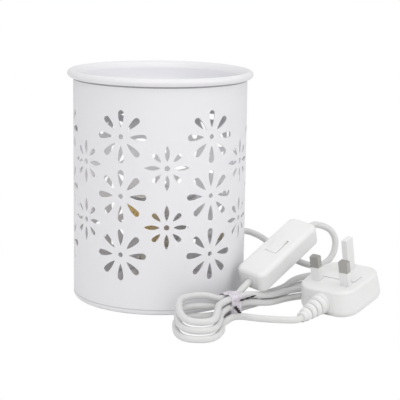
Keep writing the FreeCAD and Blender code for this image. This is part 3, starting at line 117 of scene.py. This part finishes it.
class WarmerSizes(bpy.types.PropertyGroup):
    """Sizes and places, as in the CAD source"""
    cord_diameter: length_value("Cord diameter", "Thickness of the round cord", 4.4)
    lead_length: length_value("Lead length", "Length of cord from the can to the switch", 138)
    main_length: length_value("Main length", "Length of cord from the switch to the plug", 965)
    wall_radius: length_value("Can radius", "Outer radius of the can", 58)
    grommet_nose: length_value("Grommet reach", "How far the grommet stands out of the can", 3.4)
    entry_turn: angle_value("Cord entry turn", "Turn of the cord entry from the front of the can", 126.45)
    entry_height: length_value("Cord entry height", "Height of the cord entry", 36)
    entry_run: length_value("Cord entry run", "Straight run of cord out of the grommet", 8)
    switch_place: place_value("Switch place", "Middle of the switch", (80.65, -16.6, 32.65))
    switch_heading: angle_value("Switch heading", "Turn of the switch's long axis from the X axis", 47.7)
    switch_pitch: angle_value("Switch slope", "Rise of the switch's long axis", 24)
    switch_end: length_value("Switch half length", "From the middle of the switch to its end", 32)
    cord_in_switch: length_value("Cord in the switch", "How far the cord reaches into the switch", 5)
    upper_run: length_value("Upper run", "Straight run of cord at the switch's upper end", 6.5)
    lower_run: length_value("Lower run", "Straight run of cord at the switch's lower end", 5)
    plug_place: place_value("Plug place", "Middle of the power pins, on the pin face", (114.5, -40.1, 20.2))
    plug_heading: angle_value("Plug heading", "Turn of the plug from the X axis", 51.9)
    plug_tilt: angle_value("Plug tilt", "Rise of the plug from its boot to its far end", 12)
    boot_end: length_value("Boot end", "From the power pins to the boot's tip", 37)
    boot_depth: length_value("Boot depth", "From the pin face down to the boot's axis", 9)
    boot_length: length_value("Boot length", "Length of the boot", 24)
    boot_run: length_value("Boot run", "Straight run of cord into the boot", 2.7)
    rib_start: length_value("First rib", "From the boot's root to its first rib", 2.5)
    rib_pitch: length_value("Rib pitch", "From one rib of the boot to the next", 4.875)
    tie_place: place_value("Tie place", "Middle of the tie in plan", (48, -56))
    tie_length: length_value("Tie length", "Width of the film along the cord", 10)
    tie_margin: length_value("Tie margin", "Room between the cord and the film", 0.7)
    tie_skin: length_value("Film thickness", "Thickness of the film", 0.2)
    tie_lift: length_value("Film lift", "Least height of the film above the table", 0.2)
    fold_height: length_value("Fold height", "Height of the folds in the film", 2.6)
    fold_width: length_value("Fold width", "Width of the folds in the film", 3.2)
    hank_heading: angle_value("Hank heading", "Turn of the hank's waist from the X axis", 47)
    hank_loops: bpy.props.IntProperty(name="Left loops", description="Loops left of the tie", default=3)
    hank_step: length_value("Layer step", "Height from one layer of cord to the next", 5.1)
    hank_waist: length_value("Waist", "Distance of the two columns of cord in the tie", 5.3)
    hank_straight: length_value("Straight in the tie", "Straight run of cord in the tie", 10)
    hank_run: length_value("Run before the tie", "Straight run of cord just before the tie", 6)
    hank_bottom: length_value("Lowest cord", "Gap between the lowest cord and the table", 0.8)
    right_start: length_value("Right start", "From the tie to where the right loops widen", 45)
    right_spread: length_value("Right spread", "Widening of the waist at the right start", 0.2)
    right_reach: length_value("Right reach", "From the tie to the right loop's bend", 92)
    right_shift: length_value("Right shift", "How much shorter each lower right loop is", 3)
    right_radius: length_value("Right loop radius", "Radius of the right loop's bend", 12.6)
    right_middle: length_value("Right loop middle", "Offset of the right loop from the waist", 0.2)


class WarmerColours(bpy.types.PropertyGroup):
    """Surface colours"""
    paint: colour_value("Paint", "Powder coat of the can and the dish", (0.8, 0.796, 0.818))
    cord: colour_value("Cord", "Sheath of the cord", (0.7, 0.7, 0.695))
    plastic: colour_value("Plastic", "Switch housing", (0.82, 0.82, 0.815))
    plug: colour_value("Plug", "Plug, boot and sleeves", (0.8, 0.8, 0.795))
    film: colour_value("Tie film", "Film of the tie", (0.88, 0.82, 0.9))
    gold: colour_value("Reflector", "Golden side of the lamp's reflector", (0.85, 0.6, 0.22))


def mm(*spot):
    return Vector(spot) * MM


def sizes():
    return bpy.context.scene.warmer_sizes


def colours():
    return bpy.context.scene.warmer_colours


class Socket:
    """A node output that can be used in sums."""

    def __init__(self, graph, output):
        self.graph = graph
        self.output = output

    def math(self, operation, other=0.0):
        return self.graph.add("ShaderNodeMath", {0: self, 1: other}, operation=operation)

    def __add__(self, other):
        return self.math("ADD", other)

    def __sub__(self, other):
        return self.math("SUBTRACT", other)

    def __mul__(self, other):
        return self.math("MULTIPLY", other)

    def __rsub__(self, other):
        return self.graph.add("ShaderNodeMath", {0: other, 1: self}, operation="SUBTRACT")

    __radd__ = __add__
    __rmul__ = __mul__


class Graph:
    """A material's nodes, with its surface on a Principled shader."""

    def __init__(self, name, colour, roughness, metallic=0.0, coat=0.0):
        self.material = bpy.data.materials.new(name)
        self.material.use_nodes = True
        self.tree = self.material.node_tree
        self.shader = self.tree.nodes["Principled BSDF"]
        self.base = (*colour, 1.0)
        self.roughness = roughness
        self.shader.inputs["Base Color"].default_value = self.base
        self.shader.inputs["Roughness"].default_value = roughness
        self.shader.inputs["Metallic"].default_value = metallic
        self.shader.inputs["Coat Weight"].default_value = coat

    def put(self, socket, given):
        if isinstance(given, Socket):
            self.tree.links.new(given.output, socket)
        else:
            socket.default_value = given

    def add(self, kind, inputs=None, output=0, **settings):
        item = self.tree.nodes.new(kind)
        for key, setting in settings.items():
            setattr(item, key, setting)
        for key, given in (inputs or {}).items():
            self.put(item.inputs[key], given)
        return Socket(self, item.outputs[output])

    def place(self):
        return self.add("ShaderNodeTexCoord", output="Object")

    def along(self, spot, axis):
        return self.add("ShaderNodeSeparateXYZ", {"Vector": spot}, output=axis)

    def noise(self, scale, detail=3.0, rough=0.55, stretch=(1, 1, 1)):
        spot = self.place()
        if stretch != (1, 1, 1):
            spot = self.add("ShaderNodeMapping", {"Vector": spot, "Scale": stretch})
        settings = {"Vector": spot, "Scale": scale, "Detail": detail, "Roughness": rough}
        return self.add("ShaderNodeTexNoise", settings)

    def spots(self, scale):
        return self.add("ShaderNodeTexVoronoi", {"Vector": self.place(), "Scale": scale}, feature="F1")

    def mix(self, factor, first, second):
        """A mix of two colours, which are sockets 6 and 7 of the node, with its result at 2."""
        sockets = {"Factor": factor, 6: first, 7: second}
        return self.add("ShaderNodeMix", sockets, output=2, data_type="RGBA")

    def tint(self, factor, darker):
        """Base colour that goes from its own tone to a darker one with a factor."""
        dark = tuple(part * darker for part in self.base[:3]) + (1.0,)
        self.put(self.shader.inputs["Base Color"], self.mix(factor, self.base, dark))

    def seam(self, height, half, depth):
        """A dark line round the piece at one height, used for a joint line and for painted shadow under a
        lip.
        """
        joint_and_shadow_tone = (0.06, 0.06, 0.065, 1.0)
        level = self.along(self.place(), "Z")
        line = self.add("ShaderNodeMath", {0: level, 1: height, 2: half}, operation="COMPARE")
        plain = Socket(self, self.shader.inputs["Base Color"].links[0].from_socket)
        self.put(self.shader.inputs["Base Color"], self.mix(line * depth, plain, joint_and_shadow_tone))

    def rough(self, factor, spread):
        self.put(self.shader.inputs["Roughness"], (factor - 0.5) * spread + self.roughness)

    def bump(self, height, strength, distance):
        """The last step of a finish, which hands the graph on."""
        normal = self.add("ShaderNodeBump", {"Height": height, "Strength": strength, "Distance": distance})
        self.put(self.shader.inputs["Normal"], normal)
        return self


def paint(name, joint_and_shadow_lines=()):
    """Powder coat, with dark lines round the piece: joint lines and painted shadow lines."""
    graph = Graph(name, colours().paint, 0.42, coat=0.12)
    cloud = graph.noise(scale=26)
    peel = graph.noise(scale=1500, detail=2.0)
    graph.tint((cloud - 0.35) * 0.5, darker=0.955)
    for height, half, depth in joint_and_shadow_lines:
        graph.seam(height, half, depth)
    graph.rough(cloud, spread=0.14)
    return graph.bump(peel, strength=0.14, distance=0.0002).material


def dish_paint():
    return paint("dish_powder_coat")


def can_paint():
    # The line under the dish lip is painted shadow; the line at the base is the joint.
    return paint("can_powder_coat", joint_and_shadow_lines=(LIP_SHADOW_LINE, BASE_SEAM))


def moulded(name, colour, roughness, grain):
    """Moulded plastic or board with a fine grain."""
    graph = Graph(name, colour, roughness, coat=0.05)
    cloud = graph.noise(scale=40)
    grit = graph.noise(scale=grain, detail=2.0)
    graph.tint((cloud - 0.4) * 0.6, darker=0.94)
    graph.rough(grit, spread=0.12)
    return graph.bump(grit, strength=0.16, distance=0.00012).material


def switch_plastic():
    return moulded("switch_plastic", colours().plastic, roughness=0.38, grain=2200)


def plug_plastic():
    return moulded("plug_plastic", colours().plug, roughness=0.44, grain=1800)


def insulating_board():
    return moulded("insulating_board", (0.62, 0.55, 0.42), roughness=0.75, grain=900)


def boot_plastic():
    """Boot plastic, with painted shade in the slots between the ribs of the boot."""
    slot_shift, slot_share = 0.18, 0.24
    clear_of_root, clear_of_tip = 0.3, 3
    graph = Graph("boot_plastic", colours().plug, 0.48)
    grit = graph.noise(scale=1800, detail=2.0)
    size = sizes()
    in_plug = {"Vector": graph.place(), "Location": plug_line(0, 0), "Rotation": plug_turn()}
    local = graph.add("ShaderNodeMapping", in_plug, vector_type="TEXTURE")
    reach = graph.along(local, "X") * (-1 / MM) - (size.boot_end - size.boot_length)
    phase = ((reach - size.rib_start) * (1 / size.rib_pitch) + slot_shift).math("FRACT")
    past_root = reach.math("GREATER_THAN", size.rib_start + clear_of_root)
    before_tip = reach.math("LESS_THAN", size.boot_length - clear_of_tip)
    # Painted shade: the slots between the ribs are darkened.
    graph.tint(phase.math("LESS_THAN", slot_share) * (past_root * before_tip) * 0.75, darker=0.5)
    graph.rough(grit, spread=0.12)
    return graph.bump(grit, strength=0.16, distance=0.00012).material


def cord_sheath():
    graph = Graph("cord_sheath", colours().cord, 0.46)
    cloud = graph.noise(scale=70)
    drag = graph.noise(scale=1200, detail=2.0, stretch=(1, 1, 0.35))
    graph.tint((cloud - 0.35) * 0.7, darker=0.93)
    graph.rough(drag, spread=0.16)
    return graph.bump(drag, strength=0.12, distance=0.00015).material


def metal(name, colour, roughness):
    """Brushed metal with faint stains."""
    graph = Graph(name, colour, roughness, metallic=1.0)
    brush = graph.noise(scale=900, detail=4.0, stretch=(1, 1, 0.08))
    stain = graph.noise(scale=60)
    graph.tint((stain - 0.4) * 0.9, darker=0.7)
    graph.rough(brush, spread=0.2)
    return graph.bump(brush, strength=0.1, distance=0.0001).material


def pin_metal():
    return metal("pin_metal", (0.5, 0.49, 0.47), roughness=0.3)


def contact_brass():
    return metal("contact_brass", (0.78, 0.58, 0.26), roughness=0.3)


def zinc_steel():
    return metal("zinc_steel", (0.66, 0.66, 0.64), roughness=0.34)


def lamp_ceramic():
    graph = Graph("lamp_ceramic", (0.78, 0.75, 0.68), 0.62)
    cloud = graph.noise(scale=120)
    grit = graph.spots(scale=1400)
    graph.tint((cloud - 0.35) * 0.8, darker=0.88)
    graph.rough(cloud, spread=0.15)
    return graph.bump(grit, strength=0.15, distance=0.0002).material


def rubber(name, colour):
    """Dull dark rubber or coated wire."""
    graph = Graph(name, colour, 0.7)
    grit = graph.noise(scale=1600)
    graph.tint((grit - 0.4) * 0.6, darker=0.85)
    graph.rough(grit, spread=0.15)
    return graph.bump(grit, strength=0.2, distance=0.0002).material


def pad_rubber():
    return rubber("pad_rubber", (0.05, 0.05, 0.05))


def tie_dark():
    return rubber("tie_dark", (0.012, 0.011, 0.012))


def golden_reflector():
    """Faceted reflector that goes from gold on its left to grey on its right."""
    grey, fade_per_metre = (0.62, 0.61, 0.59, 1.0), 60
    graph = Graph("golden_reflector", colours().gold, 0.3, metallic=0.35, coat=0.3)
    facets = graph.spots(scale=420)
    cloud = graph.noise(scale=55)
    side = graph.along(graph.place(), "X") * fade_per_metre
    fade = graph.add("ShaderNodeMath", {0: side, 1: cloud}, operation="ADD", use_clamp=True)
    graph.put(graph.shader.inputs["Base Color"], graph.mix(fade, graph.base, grey))
    graph.rough(facets, spread=0.2)
    return graph.bump(facets, strength=0.5, distance=0.0006).material


def clear_glass():
    graph = Graph("clear_glass", (0.95, 0.96, 0.96), 0.08)
    graph.shader.inputs["Transmission Weight"].default_value = 0.9
    stipple = graph.spots(scale=700)
    graph.rough(stipple, spread=0.12)
    return graph.bump(stipple, strength=0.3, distance=0.0003).material


def tie_film():
    """Thin crumpled film, a little see-through, with painted shade along its creases."""
    graph = Graph("tie_film", colours().film, 0.3, coat=0.4)
    crease = graph.noise(scale=420, detail=4.0, rough=0.6, stretch=(1, 1, 3))
    # Painted shade: the film's colour darkens along the creases.
    graph.tint((crease - 0.45) * 2.4, darker=0.55)
    graph.put(graph.shader.inputs["Alpha"], (crease - 0.5) * 1.2 + 0.82)
    graph.rough(crease, spread=0.3)
    return graph.bump(crease, strength=0.6, distance=0.0008).material


FINISHES = {
    dish_paint: ("wax_dish",),
    can_paint: ("shade_shell", "base_pan"),
    switch_plastic: ("switch_base", "switch_cover", "switch_rocker"),
    plug_plastic: ("plug_body", "earth_pin", "fuse_carrier", "cord_grommet", "live_sleeve", "neutral_sleeve"),
    boot_plastic: ("plug_boot",),
    cord_sheath: ("inner_cord", "live_wire", "neutral_wire", "switch_wires"),
    pin_metal: ("live_pin", "neutral_pin"),
    contact_brass: ("lampholder_contacts", "switch_contacts", "rocker_bridge", "bulb_pins"),
    zinc_steel: ("shell_screws", "bracket_screws", "lampholder_screws", "switch_screws", "rocker_pin",
                 "lamp_bracket"),
    lamp_ceramic: ("lampholder_body", "bulb_base", "fuse"),
    insulating_board: ("lampholder_plate", "cord_grip"),
    pad_rubber: ("foot_pads",),
    golden_reflector: ("bulb_reflector",),
    clear_glass: ("bulb_lens", "bulb_capsule"),
}


def dress(piece, material):
    """Give a piece one material."""
    piece.data.materials.clear()
    piece.data.materials.append(material)


def spline(name, spots):
    """A round cord on one NURBS spline along its control points."""
    curve = bpy.data.curves.new(name, "CURVE")
    curve.dimensions = "3D"
    curve.bevel_depth = sizes().cord_diameter / 2 * MM
    curve.bevel_resolution = 7
    curve.resolution_u = 12
    curve.use_fill_caps = True
    line = curve.splines.new("NURBS")
    line.points.add(len(spots) - 1)
    for point, spot in zip(line.points, spots):
        point.co = (*spot, 1.0)
    line.order_u = 3
    line.use_endpoint_u = True
    piece = bpy.data.objects.new(name, curve)
    bpy.context.scene.collection.objects.link(piece)
    curve.materials.append(bpy.data.materials["cord_sheath"])
    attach(piece, "base")
    return piece


def heading(degrees):
    """A level unit vector, turned from the X axis."""
    return Vector((math.cos(math.radians(degrees)), math.sin(math.radians(degrees)), 0))


def entry_line(reach):
    """A point straight out of the cord entry, in metres."""
    out = heading(sizes().entry_turn - 90)
    return (out * (sizes().wall_radius + reach) + UP * sizes().entry_height) * MM


def switch_line(reach):
    """A point on the switch's long axis, in metres."""
    pitch = math.radians(sizes().switch_pitch)
    along = heading(sizes().switch_heading) * math.cos(pitch) + UP * math.sin(pitch)
    return (Vector(sizes().switch_place) + along * reach) * MM


def plug_turn():
    return Euler((0, -math.radians(sizes().plug_tilt), math.radians(sizes().plug_heading)))


def plug_line(along, out):
    """A point on the plug's middle plane, along it and out of its pin face, in metres."""
    return (Vector(sizes().plug_place) + plug_turn().to_matrix() @ Vector((along, 0, out))) * MM


def on_hank(along, across, height):
    """A point by its way along and across the hank from the tie, in metres."""
    ahead = sizes().hank_heading
    plan = Vector((*sizes().tie_place, 0)) + heading(ahead) * along + heading(ahead + 90) * across
    return (plan + UP * height) * MM


def hank_levels():
    """Heights of the lowest and the highest layer, in mm."""
    low = sizes().hank_bottom + sizes().cord_diameter / 2
    return low, low + sizes().hank_step * (sizes().hank_loops - 1)


def left_loop(layer, level):
    """Control points of one loose loop left of the tie."""
    return [mm(x + layer * right, y + layer * back, level + layer * rise)
            for x, y, right, back, rise in LEFT_LOOP]


def right_loop(turn, level):
    """Control points of one loop right of the tie, which goes down a layer."""
    size = sizes()
    column = size.hank_waist / 2
    half = size.hank_straight / 2
    wide = column + size.right_spread
    under = level - size.hank_step
    end = size.right_reach - size.right_shift * turn
    bend = size.right_radius
    middle = size.right_middle
    places = (
        (half, -column, level, 0), (size.right_start, -wide, under, 0), (end, middle - bend, under, 0),
        (end + bend, middle, under, 90), (end, middle + bend, under, 180),
        (size.right_start, wide, under, 180), (half, column, under, 180))
    stations = [(on_hank(along, across, height), heading(size.hank_heading + around))
                for along, across, height, around in places]
    points = []
    for (start, leave), (stop, arrive) in zip(stations, stations[1:]):
        reach = arc_reach(stop - start, leave, arrive)
        points += [start + leave * reach, stop - arrive * reach]
    return points


def arc_reach(gap, leave, arrive):
    """Length of the two end legs of a pair of arcs that bridges a gap from one heading to another."""
    square = 2 * (1 - leave.dot(arrive))
    linear = 2 * gap.dot(leave + arrive)
    if square < 1e-9:
        return gap.length_squared / linear
    return (-linear + math.sqrt(linear ** 2 + 4 * square * gap.length_squared)) / (2 * square)


def hank_points():
    """Control points of the hank, turn by turn from the top loop down."""
    size = sizes()
    column = size.hank_waist / 2
    half = size.hank_straight / 2
    points = []
    for turn in range(size.hank_loops):
        layer = size.hank_loops - 1 - turn
        level = hank_levels()[0] + size.hank_step * layer
        points += [on_hank(half, column, level), on_hank(-half, column, level)]
        points += left_loop(layer, level)
        if layer:
            points += [on_hank(-half, -column, level), on_hank(half, -column, level)]
            points += right_loop(turn, level)
    return points


class LeadCord(bpy.types.Operator):
    """Cord from the can to the switch"""
    bl_idname = "warmer.lead_cord"
    bl_label = "Lead cord"

    def execute(self, context):
        size = sizes()
        spots = [entry_line(size.grommet_nose), entry_line(size.grommet_nose + size.entry_run)]
        spots += [mm(*spot) for spot in LEAD_ROUTE]
        spots += [switch_line(size.switch_end + size.upper_run),
                  switch_line(size.switch_end - size.cord_in_switch)]
        piece = spline("lead_cord_piece", spots)
        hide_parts("lead_cord")
        return {"FINISHED"}


class MainCord(bpy.types.Operator):
    """Cord from the switch through the hank to the plug"""
    bl_idname = "warmer.main_cord"
    bl_label = "Main cord"

    def execute(self, context):
        size = sizes()
        low, top = hank_levels()
        before_tie = size.hank_straight / 2 + size.hank_run
        spots = [switch_line(size.cord_in_switch - size.switch_end),
                 switch_line(-size.lower_run - size.switch_end),
                 on_hank(before_tie, size.hank_waist / 2, top)]
        spots += hank_points()
        spots += [mm(x, y, low) for x, y in PLUG_ROUTE]
        spots += [plug_line(-size.boot_end - run, -size.boot_depth) for run in (size.boot_run, 0)]
        piece = spline("main_cord_piece", spots)
        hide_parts("mid_cord", "cord_hank", "plug_cord")
        nodes = [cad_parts[name] for name in PLUG_NODES]
        nodes += [bpy.data.objects[name] for name in ("tie_band", *TIE_ENDS)]
        return {"FINISHED"}


def fresh():
    """Nothing selected, and object mode."""
    if bpy.context.mode != "OBJECT":
        bpy.ops.object.mode_set(mode="OBJECT")
    bpy.ops.object.select_all(action="DESELECT")


def choose(piece, kind, parts, test):
    """Select only the faces or edges of a piece that pass a test, and stay in edit mode."""
    bpy.ops.mesh.select_mode(type=kind)
    bpy.ops.mesh.select_all(action="DESELECT")
    bpy.ops.object.mode_set(mode="OBJECT")
    for part in getattr(piece.data, parts):
        part.select = test(part)
    bpy.ops.object.mode_set(mode="EDIT")


def settle(piece, place):
    """Write a piece's place into its mesh."""
    piece.data.transform(place)
    piece.matrix_world = Matrix.Identity(4)


class TieBand(bpy.types.Operator):
    """Crumpled film band round the waist of the hank"""
    bl_idname = "warmer.tie_band"
    bl_label = "Tie band"

    corner_share = 0.96
    corner_steps = 6
    cuts = 9
    fold_level = 0.42

    def execute(self, context):
        size = sizes()
        low, top = hank_levels()
        edge = size.cord_diameter / 2 + size.tie_margin
        fresh()
        bpy.ops.mesh.primitive_cube_add(size=2)
        piece = context.object
        piece.name = "tie_band"
        bpy.ops.object.mode_set(mode="EDIT")
        bpy.ops.mesh.select_all(action="SELECT")
        half_sizes = (size.tie_length / 2, size.hank_waist / 2 + edge, (top - low) / 2 + edge)
        bpy.ops.transform.resize(value=mm(*half_sizes))
        choose(piece, "FACE", "polygons", lambda face: abs(face.normal.x) > 0.9)
        bpy.ops.mesh.delete(type="FACE")
        choose(piece, "EDGE", "edges", lambda line: self.runs_along(piece, line))
        bpy.ops.mesh.bevel(offset=edge * self.corner_share * MM, segments=self.corner_steps, profile=0.5)
        bpy.ops.mesh.select_all(action="SELECT")
        bpy.ops.mesh.subdivide(number_cuts=self.cuts)
        bpy.ops.mesh.normals_make_consistent(inside=False)
        bpy.ops.object.mode_set(mode="OBJECT")
        self.crumple(piece)
        bpy.ops.object.shade_smooth()
        ahead = heading(size.hank_heading)
        turn = Matrix((ahead, UP.cross(ahead), UP)).transposed().to_4x4()
        turn.translation = on_hank(0, 0, (low + top) / 2)
        settle(piece, turn)
        for vertex in piece.data.vertices:
            vertex.co.z = max(vertex.co.z, size.tie_lift * MM)
        dress(piece, tie_film())
        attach(piece, "base")
        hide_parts("cord_tie")
        return {"FINISHED"}

    def runs_along(self, piece, line):
        """Whether an edge runs along the cord."""
        start, end = (piece.data.vertices[index].co for index in line.vertices)
        return abs(start.x - end.x) > 1e-6

    def crumple(self, piece):
        """Fold the band's surface and give it the thickness of film."""
        clouds = bpy.data.textures.new("crumple", "CLOUDS")
        clouds.noise_scale = sizes().fold_width * MM
        fold = piece.modifiers.new("fold", "DISPLACE")
        fold.texture = clouds
        fold.strength = sizes().fold_height * MM
        fold.mid_level = self.fold_level
        skin = piece.modifiers.new("skin", "SOLIDIFY")
        skin.thickness = sizes().tie_skin * MM
        for modifier in ("fold", "skin"):
            bpy.ops.object.modifier_apply(modifier=modifier)


class TieTwist(bpy.types.Operator):
    """Dark twisted ends of the tie"""
    bl_idname = "warmer.tie_twist"
    bl_label = "Tie ends"

    flatness = 0.42
    cuts = 14
    twist = 520

    def execute(self, context):
        dark = tie_dark()
        for name, (start, end, width) in TIE_ENDS.items():
            self.twisted(name, self.beside_tie(*start), self.beside_tie(*end), width, dark)
        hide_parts("tie_tail")
        return {"FINISHED"}

    def beside_tie(self, along, across, rise):
        """A point by its way from the middle of the tie's front face."""
        size = sizes()
        front = -size.hank_waist / 2 - size.cord_diameter / 2 - size.tie_margin
        return on_hank(along, front + across, hank_levels()[0] + size.hank_step + rise)

    def twisted(self, name, start, end, width, material):
        """A flat strip from one point to another, twisted along its length."""
        fresh()
        bpy.ops.mesh.primitive_cube_add(size=1)
        piece = bpy.context.object
        piece.name = name
        bpy.ops.object.mode_set(mode="EDIT")
        bpy.ops.mesh.select_all(action="SELECT")
        bpy.ops.transform.resize(value=(width * self.flatness * MM, width * MM, (end - start).length))
        bpy.ops.mesh.subdivide(number_cuts=self.cuts)
        bpy.ops.object.mode_set(mode="OBJECT")
        twist = piece.modifiers.new("twist", "SIMPLE_DEFORM")
        twist.deform_method = "TWIST"
        twist.deform_axis = "Z"
        twist.angle = math.radians(self.twist)
        bpy.ops.object.modifier_apply(modifier="twist")
        bpy.ops.object.shade_smooth()
        turn = (end - start).to_track_quat("Z", "Y").to_matrix().to_4x4()
        turn.translation = (start + end) / 2
        settle(piece, turn)
        dress(piece, material)
        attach(piece, "base")


class Finishes(bpy.types.Operator):
    """Materials of the pieces that keep their CAD shape"""
    bl_idname = "warmer.finishes"
    bl_label = "Finishes"

    def execute(self, context):
        for make, names in FINISHES.items():
            material = make()
            for name in names:
                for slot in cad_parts[name].material_slots:
                    slot.material = material
        return {"FINISHED"}


class Stage(bpy.types.Operator):
    """Floor, light and camera"""
    bl_idname = "warmer.stage"
    bl_label = "Stage"

    floor_size = 6
    world_light = 0.68
    world_seen = 1.0

    def execute(self, context):
        scene = context.scene
        scene.view_settings.view_transform = "Standard"
        self.floor()
        self.world(scene)
        for name, (spot, aim, size, power) in LIGHTS.items():
            self.light(scene, name, Vector(spot), Vector(aim), size, power)
        self.camera(scene)
        return {"FINISHED"}

    def floor(self):
        """A pale floor that the camera sees as plain white."""
        fresh()
        bpy.ops.mesh.primitive_plane_add(size=self.floor_size)
        plane = bpy.context.object
        plane.name = "floor"
        graph = Graph("pale_floor", (0.9, 0.9, 0.9), 0.8)
        seen = graph.add("ShaderNodeLightPath", output="Is Camera Ray")
        glow = graph.add("ShaderNodeEmission", {"Color": (1, 1, 1, 1), "Strength": 1.0})
        lit = Socket(graph, graph.shader.outputs[0])
        both = graph.add("ShaderNodeMixShader", {0: seen, 1: lit, 2: glow})
        graph.put(graph.tree.nodes["Material Output"].inputs["Surface"], both)
        dress(plane, graph.material)

    def world(self, scene):
        """White surroundings, dimmer as light than as the camera sees them."""
        world = bpy.data.worlds.new("studio")
        scene.world = world
        world.use_nodes = True
        tree = world.node_tree
        back = tree.nodes["Background"]
        back.inputs["Color"].default_value = (1, 1, 1, 1)
        path = tree.nodes.new("ShaderNodeLightPath")
        level = tree.nodes.new("ShaderNodeMapRange")
        level.inputs["To Min"].default_value = self.world_light
        level.inputs["To Max"].default_value = self.world_seen
        tree.links.new(path.outputs["Is Camera Ray"], level.inputs["Value"])
        tree.links.new(level.outputs["Result"], back.inputs["Strength"])

    def light(self, scene, name, spot, aim, size, power):
        lamp = bpy.data.lights.new(name, "AREA")
        lamp.size = size
        lamp.energy = power
        item = bpy.data.objects.new(name, lamp)
        scene.collection.objects.link(item)
        item.location = spot
        item.rotation_euler = (aim - spot).to_track_quat("-Z", "Y").to_euler()

    def camera(self, scene):
        lens = bpy.data.cameras.new("camera")
        lens.lens = CAMERA_LENS
        lens.sensor_width = CAMERA_SENSOR
        item = bpy.data.objects.new("camera", lens)
        scene.collection.objects.link(item)
        tilt = Matrix.Rotation(math.pi / 2 - CAMERA_TILT, 4, "X")
        roll = Matrix.Rotation(CAMERA_ROLL, 4, "Z")
        item.matrix_world = Matrix.Translation(mm(*CAMERA_PLACE)) @ tilt @ roll
        scene.camera = item


class WarmerPanel(bpy.types.Panel):
    """Steps that dress the warmer"""
    bl_label = "Wax warmer"
    bl_idname = "VIEW3D_PT_warmer"
    bl_space_type = "VIEW_3D"
    bl_region_type = "UI"
    bl_category = "Warmer"

    def draw(self, context):
        for kind in OPERATORS:
            self.layout.operator(kind.bl_idname)


OPERATORS = (Finishes, TieBand, TieTwist, LeadCord, MainCord, Stage)
CLASSES = (WarmerSizes, WarmerColours) + OPERATORS + (WarmerPanel,)


def register():
    for kind in CLASSES:
        bpy.utils.register_class(kind)
    bpy.types.Scene.warmer_sizes = bpy.props.PointerProperty(type=WarmerSizes)
    bpy.types.Scene.warmer_colours = bpy.props.PointerProperty(type=WarmerColours)


def unregister():
    del bpy.types.Scene.warmer_colours
    del bpy.types.Scene.warmer_sizes
    for kind in reversed(CLASSES):
        bpy.utils.unregister_class(kind)


def main():
    register()
    bpy.ops.warmer.finishes()
    bpy.ops.warmer.tie_band()
    bpy.ops.warmer.tie_twist()
    bpy.ops.warmer.lead_cord()
    bpy.ops.warmer.main_cord()
    bpy.ops.warmer.stage()


if __name__ == "__main__":
    main()
